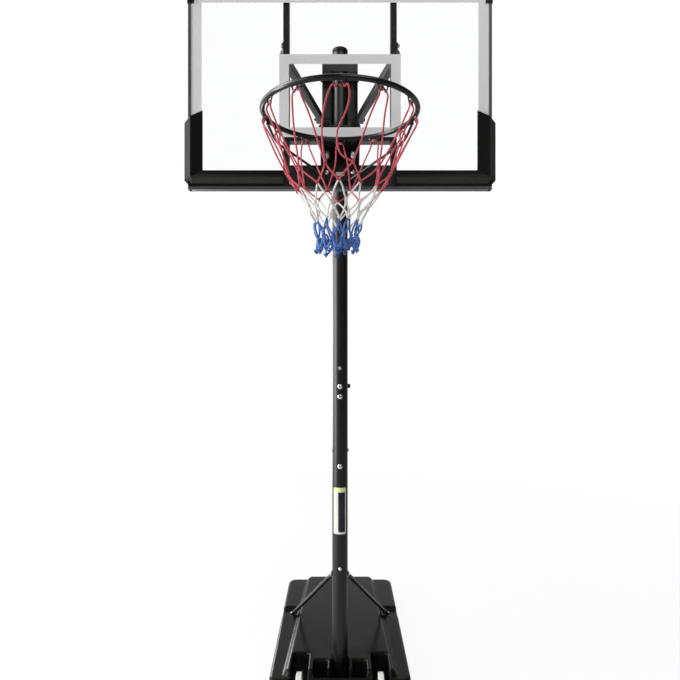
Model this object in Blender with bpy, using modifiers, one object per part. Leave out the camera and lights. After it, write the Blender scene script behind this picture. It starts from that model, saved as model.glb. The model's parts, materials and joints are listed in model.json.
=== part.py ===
"""Basketball stand whose board rides on parallelogram arms above a water-filled base.

Metres, +Z up. The origin is on the pole's axis at the floor. The hoop hangs over -Y,
the court side, and +X is to the right as seen from the court.
"""
import math

import bmesh
import bpy
from mathutils import Vector

# Clearances
FIT = 0.0003                # between faces that touch
PIVOT_GAP = 0.0005          # between faces that turn past each other

# Pole
POLE_RADIUS = 0.038
POLE_WALL = 0.0018
POLE_FOOT_Z = 0.020
LOWER_JOINT_Z = 1.066
UPPER_JOINT_Z = 2.110
POLE_TOP_Z = 3.098
SWAGE_LENGTH = 0.125
SWAGE_CHAMFER = 0.002
CAP_BODY_HEIGHT = 0.018
CAP_DOME_HEIGHT = 0.014
CAP_PLUG_LENGTH = 0.030
POLE_SIDES = 24

# Base tank
TANK_FRONT_Y = -0.150
TANK_REAR_Y = 0.990
TANK_HALF_WIDTH = 0.335
TANK_CORNER_RADIUS = 0.050
SHOULDER_Z = 0.118
PLATEAU_Z = 0.150
PLATEAU_FRONT_HALF_WIDTH = 0.265
PLATEAU_REAR_HALF_WIDTH = 0.215
PLATEAU_END_SETBACK = 0.022
PLATEAU_CORNER_RADIUS = 0.035
TANK_WALL = 0.004
TANK_EDGE_ROUND = 0.014
PLATEAU_EDGE_ROUND = 0.022
WATER_HEADROOM = 0.012
WELL_INNER_X = 0.153
WELL_OUTER_X = 0.2325
WELL_REAR_Y = 0.036
WELL_CORNER_RADIUS = 0.020
POCKET_INNER_X = 0.060
POCKET_OUTER_X = 0.128
POCKET_FRONT_Y = -0.130
POCKET_REAR_Y = -0.022
POCKET_FLOOR_Z = 0.030
POLE_BAY_HALF_WIDTH = 0.047
RIDGE_FRONT_Y = -0.095
FRONT_BLOCK_REAR_Y = 0.060
STRUT_SEAT_X = 0.280
STRUT_SEAT_Y = 0.545
STRUT_SEAT_Z = 0.098
STRUT_SEAT_INNER_X = 0.250
STRUT_SEAT_HALF_LENGTH = 0.050

# Filler
FILLER_Y = 0.900
FILLER_BORE_RADIUS = 0.0165
FILLER_CAP_RADIUS = 0.026
FILLER_CAP_HEIGHT = 0.012
FILLER_PLUG_LENGTH = 0.016

# Wheels
AXLE_Y = -0.112
AXLE_Z = 0.0665
AXLE_RADIUS = 0.006
AXLE_END_SEAT = 0.0175
WHEEL_RADIUS = 0.064
WHEEL_WIDTH = 0.028
WHEEL_RIM_ROUND = 0.005
HUB_RADIUS = 0.014
WELL_SIDE_GAP = 0.0015

# Struts
STRUT_RADIUS = 0.010
STRUT_TAB_THICKNESS = 0.004
STRUT_TAB_HALF_WIDTH = 0.012
STRUT_TOP_Z = 0.555
STRUT_TAB_LENGTH = 0.036

# Bolts through the pole
BOLT_RADIUS = 0.004
BOLT_HEAD_RADIUS = 0.012
BOLT_HEAD_HEIGHT = 0.0055
NUT_RADIUS = 0.0075
NUT_HEIGHT = 0.0065
BOLT_SIDES = 10
SQUARE_BOLT_Z = 0.593
LOWER_FRONT_BOLT_Z = 1.0875
LOWER_CROSS_BOLT_Z = 1.161
UPPER_CROSS_BOLT_Z = 2.190

# Height adjuster on the back of the pole
GUIDE_BOTTOM_Z = 1.370
GUIDE_TOP_Z = 1.605
GUIDE_PLATE = 0.003
GUIDE_HALF_WIDTH = 0.030
GUIDE_BOLT_HEIGHTS = (1.4256, 1.4746, 1.563)
ROD_HALF = 0.012
ROD_WALL = 0.0015
ROD_BOTTOM_Z = 1.190
LINK_REACH = 0.110          # from the lower pivot back to the pin that the rod carries
LINK_PIN_RADIUS = 0.005
ROD_SLOT_PLAY_Z = 0.0022
ROD_SLOT_PLAY_Y = 0.0012
ROD_HEAD_HALF_LENGTH = 0.026
ROD_HEAD_HALF_HEIGHT = 0.020
GRIP_RADIUS = 0.021
GRIP_LENGTH = 0.120
LOCK_KNOB_Z = 1.466
LOCK_KNOB_RADIUS = 0.011
LOCK_KNOB_END_X = 0.053
LOCK_SCREW_RADIUS = 0.004

# Parallelogram arms
UPPER_PIVOT_Z = 2.780
LOWER_PIVOT_Z = 2.485
ARM_LENGTH = 0.700
RAISE_LIMIT = math.radians(31)
ARM_WALL = 0.002
UPPER_ARM_HALF = 0.015
LOWER_ARM_HALF = 0.0125
ARM_STRAIGHT_END = 0.050
ARM_OVERHANG = 0.016
LOWER_ARM_OVERHANG = 0.0135
PIVOT_BOLT_RADIUS = 0.005

# Channel at the top of the pole
CHANNEL_HALF_WIDTH = 0.086
CHANNEL_PLATE = 0.0025
CHANNEL_FRONT_Y = -0.043
CHANNEL_BOTTOM_Z = 2.600
CHANNEL_TOP_Z = 3.046
STRAP_HEIGHT = 0.048
CHANNEL_BOLT_Z = 2.970

# Backboard
BOARD_FRONT_Y = -0.733
BOARD_HALF_WIDTH = 0.550
BOARD_BOTTOM_Z = 2.245
BOARD_TOP_Z = 2.965
FRAME_DEPTH = 0.030
FRAME_LIP = 0.011
FRAME_PLATE = 0.0015
PANEL_THICKNESS = 0.0035
UPRIGHT_X = 0.195
UPRIGHT_HALF_WIDTH = 0.011
UPRIGHT_DEPTH = 0.035
TUBE_WALL = 0.0015
CROSSBAR_BOTTOM_Z = 2.421
CROSSBAR_TOP_Z = 2.442
CROSSBAR_DEPTH = 0.040
LUG_PLATE = 0.004
LUG_HALF_WIDTH = 0.0115
LUG_RISE = 0.0135
BACKING_PLATE = 0.003
BACKING_WIDE_HEIGHT = 0.078
BACKING_TONGUE_HALF_WIDTH = 0.060

# Pads on the lower corners and caps on the upper ones
PAD_THICKNESS = 0.0115
PAD_SIDE_REACH = 0.015
PAD_UNDER_REACH = 0.0055
PAD_SIDE_BAND = 0.040
PAD_BOTTOM_BAND = 0.070
PAD_CHAMFER_TOP = 0.045
PAD_END_X = 0.205
PAD_TOP_Z = 2.530
PAD_TOP_DROP = 0.020
PAD_CORNER_CUT = 0.030
CAP_WIDTH = 0.025
CAP_DROP = 0.049
CAP_SKIN = 0.0025
CAP_CORNER_RADIUS = 0.012

# Ring
RING_Y = -1.074
RING_Z = 2.388
RING_RADIUS = 0.233
RING_TUBE_RADIUS = 0.008
RING_STEPS = 40
HOOK_COUNT = 12
HOOK_INSET = 0.003
HOOK_WIRE_RADIUS = 0.0016
HOOK_HALF_SPAN = 0.015
HOOK_VALLEY_OFFSET = 0.008
HOOK_VALLEY_DEPTH = 0.0235
HOOK_PEAK_DEPTH = 0.0140
BRACKET_HALF_WIDTH = 0.0685
BRACKET_BOTTOM_Z = 2.272
BRACKET_TOP_Z = 2.4075
BRACKET_PLATE = 0.003
GUSSET_NOSE_HEIGHT = 0.012
RING_BOLT_X = 0.048
RING_BOLT_HEIGHTS = (2.307, 2.364)
RING_BOLT_HEAD_RADIUS = 0.008
BRACE_RADIUS = 0.00425
BRACE_FOOT_X = 0.037
BRACE_FOOT_RISE = 0.006
BRACE_KNEE = (0.196, -0.900, 2.345)
BRACE_END_ANGLE = math.radians(15)

# Net
NET_CORD = 0.0046
NET_ROWS = (                # depth below the ring's plane and radius of each row of knots
    (0.0215, 0.2290),
    (0.1990, 0.1570),
    (0.2400, 0.1280),
    (0.2870, 0.0920),
    (0.3320, 0.0720),
    (0.3780, 0.0660),
    (0.4220, 0.0660),
)
NET_SPLIT_DEPTH = 0.232
NET_LONG_STEPS = 4
NET_SHORT_STEPS = 2

# Heights and places that follow from the sizes above
BOARD_PIVOT_Y = -ARM_LENGTH
BACKING_TOP_Z = BOARD_BOTTOM_Z + FRAME_LIP + BACKING_WIDE_HEIGHT
PANEL_FRONT_Y = BOARD_FRONT_Y + FRAME_PLATE + FIT
PANEL_BACK_Y = PANEL_FRONT_Y + PANEL_THICKNESS
SUBFRAME_Y = PANEL_BACK_Y + FIT
BRACKET_FRONT_Y = PANEL_FRONT_Y - FIT - BRACKET_PLATE
UPPER_ARM_POLE_X = CHANNEL_HALF_WIDTH + PIVOT_GAP + UPPER_ARM_HALF
UPPER_ARM_BOARD_X = UPRIGHT_X + UPRIGHT_HALF_WIDTH + PIVOT_GAP + UPPER_ARM_HALF
LOWER_ARM_X = POLE_RADIUS + 2 * PIVOT_GAP + LOWER_ARM_HALF
HOOK_RADIUS = RING_RADIUS - HOOK_INSET
ROD_Y = LINK_REACH
AXLE_HALF_LENGTH = WELL_OUTER_X + AXLE_END_SEAT
FRONT_BLOCK_HALF_WIDTH = AXLE_HALF_LENGTH + FIT


def clear_scene():
    """Remove every object that the file opened with."""
    for old in list(bpy.data.objects):
        bpy.data.objects.remove(old, do_unlink=True)


def new_group(name):
    """A collection linked to the scene."""
    group = bpy.data.collections.new(name)
    bpy.context.scene.collection.children.link(group)
    return group


clear_scene()
PARTS = new_group("basketball_stand")
CUTTERS = new_group("cutters")


def paint(name, colour, roughness, metallic=0.0):
    """A Principled material with a plain colour."""
    made = bpy.data.materials.new(name)
    made.use_nodes = True
    shader = made.node_tree.nodes["Principled BSDF"]
    shader.inputs["Base Color"].default_value = (*colour, 1.0)
    shader.inputs["Roughness"].default_value = roughness
    shader.inputs["Metallic"].default_value = metallic
    return made


BLACK_COAT = paint("black_powder_coat", (0.020, 0.020, 0.021), 0.38)
GREY_COAT = paint("dark_grey_coat", (0.075, 0.077, 0.080), 0.42)
ZINC = paint("zinc_plate", (0.78, 0.78, 0.76), 0.30, 1.0)
TANK_PLASTIC = paint("tank_plastic", (0.022, 0.022, 0.021), 0.36)
WATER = paint("water", (0.30, 0.42, 0.45), 0.05)
WHEEL_PLASTIC = paint("pale_wheel_plastic", (0.72, 0.72, 0.70), 0.45)
CAP_PLASTIC = paint("black_cap_plastic", (0.018, 0.018, 0.018), 0.45)
CLEAR_SHEET = paint("clear_sheet", (0.80, 0.83, 0.84), 0.05)
PAD_RUBBER = paint("pad_rubber", (0.016, 0.016, 0.017), 0.60)
GRIP_RUBBER = paint("grip_rubber", (0.015, 0.015, 0.015), 0.75)
RED_CORD = paint("red_cord", (0.62, 0.10, 0.14), 0.80)
WHITE_CORD = paint("white_and_blue_cord", (0.80, 0.80, 0.80), 0.80)


def place(name, mesh, coat):
    """Put a mesh in the part's collection, or with the cutters when it has no coat."""
    made = bpy.data.objects.new(name, mesh)
    if coat is None:
        CUTTERS.objects.link(made)
        made.hide_render = True
        made.display_type = "WIRE"
    else:
        PARTS.objects.link(made)
        mesh.materials.append(coat)
    return made


def smooth(mesh):
    """Shade round faces smooth and keep the hard edges."""
    mesh.shade_smooth()
    mesh.set_sharp_from_angle(angle=math.radians(35))


def block(name, coat, low, high):
    """A box between two corners."""
    low, high = Vector(low), Vector(high)
    shape = bmesh.new()
    bmesh.ops.create_cube(shape, size=1.0)
    bmesh.ops.scale(shape, vec=high - low, verts=shape.verts)
    mesh = bpy.data.meshes.new(name)
    shape.to_mesh(mesh)
    shape.free()
    made = place(name, mesh, coat)
    made.location = (low + high) / 2
    return made


def bar(name, coat, radius, start, end, sides=BOLT_SIDES):
    """A round bar between two points."""
    start, end = Vector(start), Vector(end)
    shape = bmesh.new()
    bmesh.ops.create_cone(shape, cap_ends=True, segments=sides, radius1=radius,
                          radius2=radius, depth=(end - start).length)
    mesh = bpy.data.meshes.new(name)
    shape.to_mesh(mesh)
    shape.free()
    smooth(mesh)
    made = place(name, mesh, coat)
    made.location = (start + end) / 2
    made.rotation_euler = (end - start).to_track_quat("Z", "Y").to_euler()
    return made


def turned(name, coat, profile, sides, closed=False):
    """Turn a profile of (radius, height) points, listed down its outer side, about Z."""
    shape = bmesh.new()
    points = [shape.verts.new((radius, 0.0, height)) for radius, height in profile]
    for first, second in zip(points, points[1:]):
        shape.edges.new((first, second))
    if closed:
        shape.edges.new((points[-1], points[0]))
    mesh = bpy.data.meshes.new(name)
    shape.to_mesh(mesh)
    shape.free()
    made = place(name, mesh, coat)
    screw = made.modifiers.new("turn", "SCREW")
    screw.steps = sides
    screw.render_steps = sides
    screw.use_merge_vertices = True
    screw.merge_threshold = 0.0001
    return made


def circle(centre, radius, count=12):
    """Points round a circle."""
    return [(centre[0] + radius * math.cos(turn), centre[1] + radius * math.sin(turn))
            for turn in (2 * math.pi * i / count for i in range(count))]


def round_corners(corners, radii, steps=5):
    """An outline whose corners, listed anticlockwise, are replaced by arcs."""
    outline = []
    for i, (corner, radius) in enumerate(zip(corners, radii)):
        here = Vector(corner)
        back = (Vector(corners[i - 1]) - here).normalized()
        ahead = (Vector(corners[(i + 1) % len(corners)]) - here).normalized()
        if radius <= 0:
            outline.append(tuple(here))
            continue
        half = back.angle(ahead) / 2
        centre = here + (back + ahead).normalized() * radius / math.sin(half)
        start = here + back * radius / math.tan(half) - centre
        sweep = math.pi - 2 * half
        for step in range(steps + 1):
            turn = sweep * step / steps
            spoke = Vector((start.x * math.cos(turn) - start.y * math.sin(turn),
                            start.x * math.sin(turn) + start.y * math.cos(turn)))
            outline.append(tuple(centre + spoke))
    return outline


def as_mesh(curve_object, coat):
    """Turn a curve object into a welded mesh object in the same place."""
    bpy.context.view_layer.update()
    evaluated = curve_object.evaluated_get(bpy.context.evaluated_depsgraph_get())
    mesh = bpy.data.meshes.new_from_object(evaluated)
    shape = bmesh.new()
    shape.from_mesh(mesh)
    bmesh.ops.remove_doubles(shape, verts=shape.verts, dist=0.00001)
    shape.to_mesh(mesh)
    shape.free()
    smooth(mesh)
    mesh.materials.clear()
    name, where = curve_object.name, curve_object.matrix_world.copy()
    bpy.data.objects.remove(curve_object, do_unlink=True)
    made = place(name, mesh, coat)
    made.matrix_world = where
    return made


# How a flat outline is turned so that its plane faces along an axis
FACING = {
    "X": (math.pi / 2, 0.0, math.pi / 2),       # outline in y, z
    "Y": (math.pi / 2, 0.0, 0.0),               # outline in x, z
    "Z": (0.0, 0.0, 0.0),                       # outline in x, y
}


def plate(name, coat, facing, outline, low, high, holes=(), edge=0.0):
    """A flat outline, with any holes, between two places along the axis it faces.

    A positive edge rounds the rims of both faces by that radius.
    """
    curve = bpy.data.curves.new(name, "CURVE")
    curve.dimensions = "2D"
    curve.fill_mode = "BOTH"
    curve.extrude = (high - low) / 2 - edge
    curve.bevel_depth = edge
    curve.bevel_resolution = 1
    curve.offset = -edge
    for loop in (outline, *holes):
        spline = curve.splines.new("POLY")
        spline.points.add(len(loop) - 1)
        for point, (u, v) in zip(spline.points, loop):
            point.co = (u, v, 0.0, 1.0)
        spline.use_cyclic_u = True
    made = bpy.data.objects.new(name, curve)
    PARTS.objects.link(made)
    made.rotation_euler = FACING[facing]
    made.location["XYZ".index(facing)] = (low + high) / 2
    return as_mesh(made, coat)


def wire(name, coat, paths, radius, resolution=1):
    """Round wire along one or more paths, as a mesh."""
    curve = bpy.data.curves.new(name, "CURVE")
    curve.dimensions = "3D"
    curve.bevel_depth = radius
    curve.bevel_resolution = resolution
    curve.use_fill_caps = True
    for path in paths:
        spline = curve.splines.new("POLY")
        spline.points.add(len(path) - 1)
        for point, place_of in zip(spline.points, path):
            point.co = (*place_of, 1.0)
    made = bpy.data.objects.new(name, curve)
    PARTS.objects.link(made)
    return as_mesh(made, coat)


def combine(target, operation, others):
    """Add a Boolean modifier to the target for each of the other objects."""
    for other in others:
        modifier = target.modifiers.new(operation.lower(), "BOOLEAN")
        modifier.operation = operation
        modifier.solver = "EXACT"
        modifier.object = other
    return target


def cut(target, *others):
    return combine(target, "DIFFERENCE", others)


def join(target, *others):
    return combine(target, "UNION", others)


def bore(name, axis, centre, radius, half_length, sides=12):
    """A cutter for a round hole along X, Y or Z."""
    step = Vector([half_length if letter == axis else 0.0 for letter in "XYZ"])
    return bar(name, None, radius, Vector(centre) - step, Vector(centre) + step, sides)


def bolt(name, axis, centre, seat, nut_seat, head_radius=BOLT_HEAD_RADIUS, sides=BOLT_SIDES,
         radius=BOLT_RADIUS, head_height=BOLT_HEAD_HEIGHT, nut_radius=NUT_RADIUS):
    """A bolt and its nut as one solid. Seats are distances from the centre to head and nut.

    The head is at -Y on a bolt along Y, at +X along X and at +Z along Z.
    """
    top = seat + FIT
    bottom = -nut_seat - FIT
    profile = [
        (0.0, top + head_height),
        (0.72 * head_radius, top + head_height),
        (head_radius, top + 0.4 * head_height),
        (head_radius, top),
        (radius, top),
        (radius, bottom),
        (nut_radius, bottom),
        (nut_radius, bottom - NUT_HEIGHT),
        (0.0, bottom - NUT_HEIGHT),
    ]
    made = turned(name, ZINC, profile, sides)
    made.location = centre
    made.rotation_euler = {"X": (0.0, math.pi / 2, 0.0), "Y": (math.pi / 2, 0.0, 0.0),
                           "Z": (0.0, 0.0, 0.0)}[axis]
    return made


def pivot_empty(name, where, pieces):
    """An empty on a joint's axis that carries the pieces that move with it."""
    empty = bpy.data.objects.new(name, None)
    PARTS.objects.link(empty)
    empty.location = where
    bpy.context.view_layer.update()
    for piece in pieces:
        piece.parent = empty
        piece.matrix_parent_inverse = empty.matrix_world.inverted()
    return empty


def hollow(name, coat, low, high, wall, along):
    """A rectangular tube with open ends along the given axis."""
    low, high = Vector(low), Vector(high)
    inner_low = low + Vector((wall, wall, wall))
    inner_high = high - Vector((wall, wall, wall))
    index = "XYZ".index(along)
    inner_low[index] = low[index] - wall
    inner_high[index] = high[index] + wall
    return cut(block(name, coat, low, high), block(name + "_bore", None, inner_low, inner_high))


def tank_space(name, coat, inset):
    """The tank's outer form, or the form that lies a distance inside its walls."""
    radius = TANK_CORNER_RADIUS - inset
    half = TANK_HALF_WIDTH - inset
    front, rear = TANK_FRONT_Y + inset, TANK_REAR_Y - inset
    body_outline = round_corners([(-half, front), (half, front), (half, rear), (-half, rear)],
                                 [radius] * 4)
    body = plate(name, coat, "Z", body_outline, inset, SHOULDER_Z - inset,
                 edge=TANK_EDGE_ROUND - inset)
    front_half = PLATEAU_FRONT_HALF_WIDTH - inset
    rear_half = PLATEAU_REAR_HALF_WIDTH - inset
    raised_front = front + PLATEAU_END_SETBACK
    raised_rear = rear - PLATEAU_END_SETBACK
    raised_outline = round_corners([(-front_half, raised_front), (front_half, raised_front),
                                    (rear_half, raised_rear), (-rear_half, raised_rear)],
                                   [PLATEAU_CORNER_RADIUS - inset] * 4)
    raised = plate(name + "_plateau", None, "Z", raised_outline, SHOULDER_Z / 2,
                   PLATEAU_Z - inset, edge=PLATEAU_EDGE_ROUND - inset)
    return join(body, raised)


def strut_seat_cutter(name, side, grow):
    """The notch in a shoulder that a strut's foot is bolted down in."""
    inner = side * (STRUT_SEAT_INNER_X - grow)
    outer = side * (TANK_HALF_WIDTH + TANK_WALL)
    half = STRUT_SEAT_HALF_LENGTH + grow
    return block(name, None,
                 (min(inner, outer), STRUT_SEAT_Y - half, STRUT_SEAT_Z - grow),
                 (max(inner, outer), STRUT_SEAT_Y + half, PLATEAU_Z + TANK_WALL))


def build_base():
    """The tank, the water in it, its cap and the two wheels on their axle."""
    tank = tank_space("base_tank", TANK_PLASTIC, 0.0)
    cavity = tank_space("tank_cavity", None, TANK_WALL)
    water = tank_space("water_ballast", WATER, TANK_WALL + FIT)
    below = TANK_FRONT_Y - TANK_WALL
    for inset, space in ((TANK_WALL, cavity), (TANK_WALL + FIT, water)):
        tag = "_" + space.name
        cut(space, block("front_block" + tag, None,
                         (-FRONT_BLOCK_HALF_WIDTH - inset, below, -TANK_WALL),
                         (FRONT_BLOCK_HALF_WIDTH + inset, FRONT_BLOCK_REAR_Y + inset,
                          PLATEAU_Z + TANK_WALL)))
        for side in (-1, 1):
            cut(space, strut_seat_cutter(f"seat_{side}" + tag, side, inset))
            cut(space, bore(f"seat_boss_{side}" + tag, "Z",
                            (side * STRUT_SEAT_X, STRUT_SEAT_Y, STRUT_SEAT_Z - 0.018),
                            BOLT_RADIUS + FIT + inset, 0.020 + inset))
    cut(water, block("water_surface", None,
                     (-TANK_HALF_WIDTH, below, PLATEAU_Z - TANK_WALL - WATER_HEADROOM),
                     (TANK_HALF_WIDTH, TANK_REAR_Y, PLATEAU_Z)))
    cut(tank, cavity, bore("filler_bore", "Z", (0.0, FILLER_Y, PLATEAU_Z),
                           FILLER_BORE_RADIUS, 2 * TANK_WALL, 24))
    for side in (-1, 1):
        tag = "left" if side < 0 else "right"
        well = round_corners(
            [(WELL_INNER_X, below), (WELL_OUTER_X, below),
             (WELL_OUTER_X, WELL_REAR_Y), (WELL_INNER_X, WELL_REAR_Y)],
            [0.0, 0.0, WELL_CORNER_RADIUS, WELL_CORNER_RADIUS])
        pocket = round_corners(
            [(POCKET_INNER_X, POCKET_FRONT_Y), (POCKET_OUTER_X, POCKET_FRONT_Y),
             (POCKET_OUTER_X, POCKET_REAR_Y), (POCKET_INNER_X, POCKET_REAR_Y)],
            [0.0, WELL_CORNER_RADIUS / 2, WELL_CORNER_RADIUS, WELL_CORNER_RADIUS / 2])
        well = [(side * u, v) for u, v in well][::side]
        pocket = [(side * u, v) for u, v in pocket][::side]
        cut(tank,
            plate("well_" + tag, None, "Z", well, -TANK_WALL, PLATEAU_Z + TANK_WALL),
            plate("pocket_" + tag, None, "Z", pocket, POCKET_FLOOR_Z, PLATEAU_Z + TANK_WALL),
            strut_seat_cutter("seat_" + tag, side, 0.0),
            bore("foot_bolt_bore_" + tag, "Z",
                 (side * STRUT_SEAT_X, STRUT_SEAT_Y, STRUT_SEAT_Z - 0.014),
                 BOLT_RADIUS + FIT, 0.016))
    for name, half, rear in (("pole_bay", POLE_BAY_HALF_WIDTH, POCKET_REAR_Y),
                             ("pocket_link", POCKET_INNER_X + FIT, RIDGE_FRONT_Y)):
        cut(tank, block(name, None, (-half, POCKET_FRONT_Y, POCKET_FLOOR_Z),
                        (half, rear, PLATEAU_Z + TANK_WALL)))
    socket_top = PLATEAU_Z + TANK_WALL
    socket_middle = (POLE_FOOT_Z - FIT + socket_top) / 2
    cut(tank,
        bore("pole_socket", "Z", (0.0, 0.0, socket_middle), POLE_RADIUS + FIT,
             socket_top - socket_middle, POLE_SIDES),
        bore("axle_seat", "X", (0.0, AXLE_Y, AXLE_Z), AXLE_RADIUS + FIT,
             AXLE_HALF_LENGTH + FIT),
        block("axle_slot", None,
              (-AXLE_HALF_LENGTH - FIT, AXLE_Y - AXLE_RADIUS + FIT, -TANK_WALL),
              (AXLE_HALF_LENGTH + FIT, AXLE_Y + AXLE_RADIUS - FIT, AXLE_Z)))
    bar("wheel_axle", ZINC, AXLE_RADIUS, (-AXLE_HALF_LENGTH, AXLE_Y, AXLE_Z),
        (AXLE_HALF_LENGTH, AXLE_Y, AXLE_Z), 16)
    hub_half = (WELL_OUTER_X - WELL_INNER_X) / 2 - WELL_SIDE_GAP
    half = WHEEL_WIDTH / 2
    edge = WHEEL_RADIUS - WHEEL_RIM_ROUND
    bore_radius = AXLE_RADIUS + FIT
    profile = [(HUB_RADIUS, hub_half), (HUB_RADIUS, half), (edge, half),
               (WHEEL_RADIUS, half - WHEEL_RIM_ROUND), (WHEEL_RADIUS, WHEEL_RIM_ROUND - half),
               (edge, -half), (HUB_RADIUS, -half), (HUB_RADIUS, -hub_half),
               (bore_radius, -hub_half), (bore_radius, hub_half)]
    for side, name in ((-1, "wheel_left"), (1, "wheel_right")):
        wheel = turned(name, WHEEL_PLASTIC, profile, 20, closed=True)
        wheel.location = (side * (WELL_INNER_X + WELL_OUTER_X) / 2, AXLE_Y, AXLE_Z)
        wheel.rotation_euler = (0.0, math.pi / 2, 0.0)
    plug = FILLER_BORE_RADIUS - FIT
    cap = turned("filler_cap", CAP_PLASTIC, [
        (0.0, FILLER_CAP_HEIGHT), (FILLER_CAP_RADIUS - 0.003, FILLER_CAP_HEIGHT),
        (FILLER_CAP_RADIUS, FILLER_CAP_HEIGHT - 0.003), (FILLER_CAP_RADIUS, FIT),
        (plug, FIT), (plug, -FILLER_PLUG_LENGTH), (0.0, -FILLER_PLUG_LENGTH)], 24)
    cap.location = (0.0, FILLER_Y, PLATEAU_Z)


def pole_section(name, foot, top, swaged):
    """A round tube. A swaged one is drawn in above its top to slip inside the next."""
    inner = POLE_RADIUS - POLE_WALL
    neck = inner - FIT
    if swaged:
        shoulder = top - SWAGE_CHAMFER
        tip = top + SWAGE_LENGTH
        profile = [(neck, tip), (neck, top), (POLE_RADIUS, shoulder), (POLE_RADIUS, foot),
                   (inner, foot), (inner, shoulder - SWAGE_CHAMFER), (neck - POLE_WALL, top),
                   (neck - POLE_WALL, tip)]
    else:
        profile = [(POLE_RADIUS, top), (POLE_RADIUS, foot), (inner, foot), (inner, top)]
    return turned(name, BLACK_COAT, profile, POLE_SIDES, closed=True)


def build_pole():
    """Three pole sections, the cap and the bolts that pin them together."""
    lower = pole_section("pole_lower", POLE_FOOT_Z, LOWER_JOINT_Z, True)
    middle = pole_section("pole_middle", LOWER_JOINT_Z + FIT, UPPER_JOINT_Z, True)
    upper = pole_section("pole_upper", UPPER_JOINT_Z + FIT, POLE_TOP_Z, False)
    through = POLE_RADIUS + 0.01
    holes = [
        ("strut_cross_bolt", "X", STRUT_TOP_Z, (lower,)),
        ("strut_front_bolt", "Y", SQUARE_BOLT_Z, (lower,)),
        ("lower_joint_front_bolt", "Y", LOWER_FRONT_BOLT_Z, (lower, middle)),
        ("lower_joint_cross_bolt", "X", LOWER_CROSS_BOLT_Z, (lower, middle)),
        ("upper_joint_cross_bolt", "X", UPPER_CROSS_BOLT_Z, (middle, upper)),
        ("channel_bolt", "X", CHANNEL_BOLT_Z, (upper,)),
    ]
    holes += [(f"guide_bolt_{i + 1}", "Y", height, (middle,))
              for i, height in enumerate(GUIDE_BOLT_HEIGHTS)]
    for name, axis, height, sections in holes:
        hole = bore(name + "_hole", axis, (0.0, 0.0, height), BOLT_RADIUS + FIT, through)
        for section in sections:
            cut(section, hole)
    for name, height in (("upper_pivot", UPPER_PIVOT_Z), ("lower_pivot", LOWER_PIVOT_Z)):
        cut(upper, bore(name + "_hole", "X", (0.0, 0.0, height), PIVOT_BOLT_RADIUS + FIT,
                        through))
    bolt("strut_front_bolt", "Y", (0.0, 0.0, SQUARE_BOLT_Z), POLE_RADIUS, POLE_RADIUS)
    bolt("lower_joint_front_bolt", "Y", (0.0, 0.0, LOWER_FRONT_BOLT_Z), POLE_RADIUS,
         POLE_RADIUS)
    bolt("lower_joint_cross_bolt", "X", (0.0, 0.0, LOWER_CROSS_BOLT_Z), POLE_RADIUS,
         POLE_RADIUS, head_radius=NUT_RADIUS)
    bolt("upper_joint_cross_bolt", "X", (0.0, 0.0, UPPER_CROSS_BOLT_Z), POLE_RADIUS,
         POLE_RADIUS, head_radius=NUT_RADIUS)
    plug = POLE_RADIUS - POLE_WALL - FIT
    dome = [(POLE_RADIUS * math.sin(turn), CAP_BODY_HEIGHT + CAP_DOME_HEIGHT * math.cos(turn))
            for turn in (math.pi / 2 * i / 5 for i in range(6))]
    cap = turned("pole_cap", CAP_PLASTIC,
                 dome + [(POLE_RADIUS, FIT), (plug, FIT), (plug, -CAP_PLUG_LENGTH),
                         (0.0, -CAP_PLUG_LENGTH)], POLE_SIDES)
    cap.location = (0.0, 0.0, POLE_TOP_Z)


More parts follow.
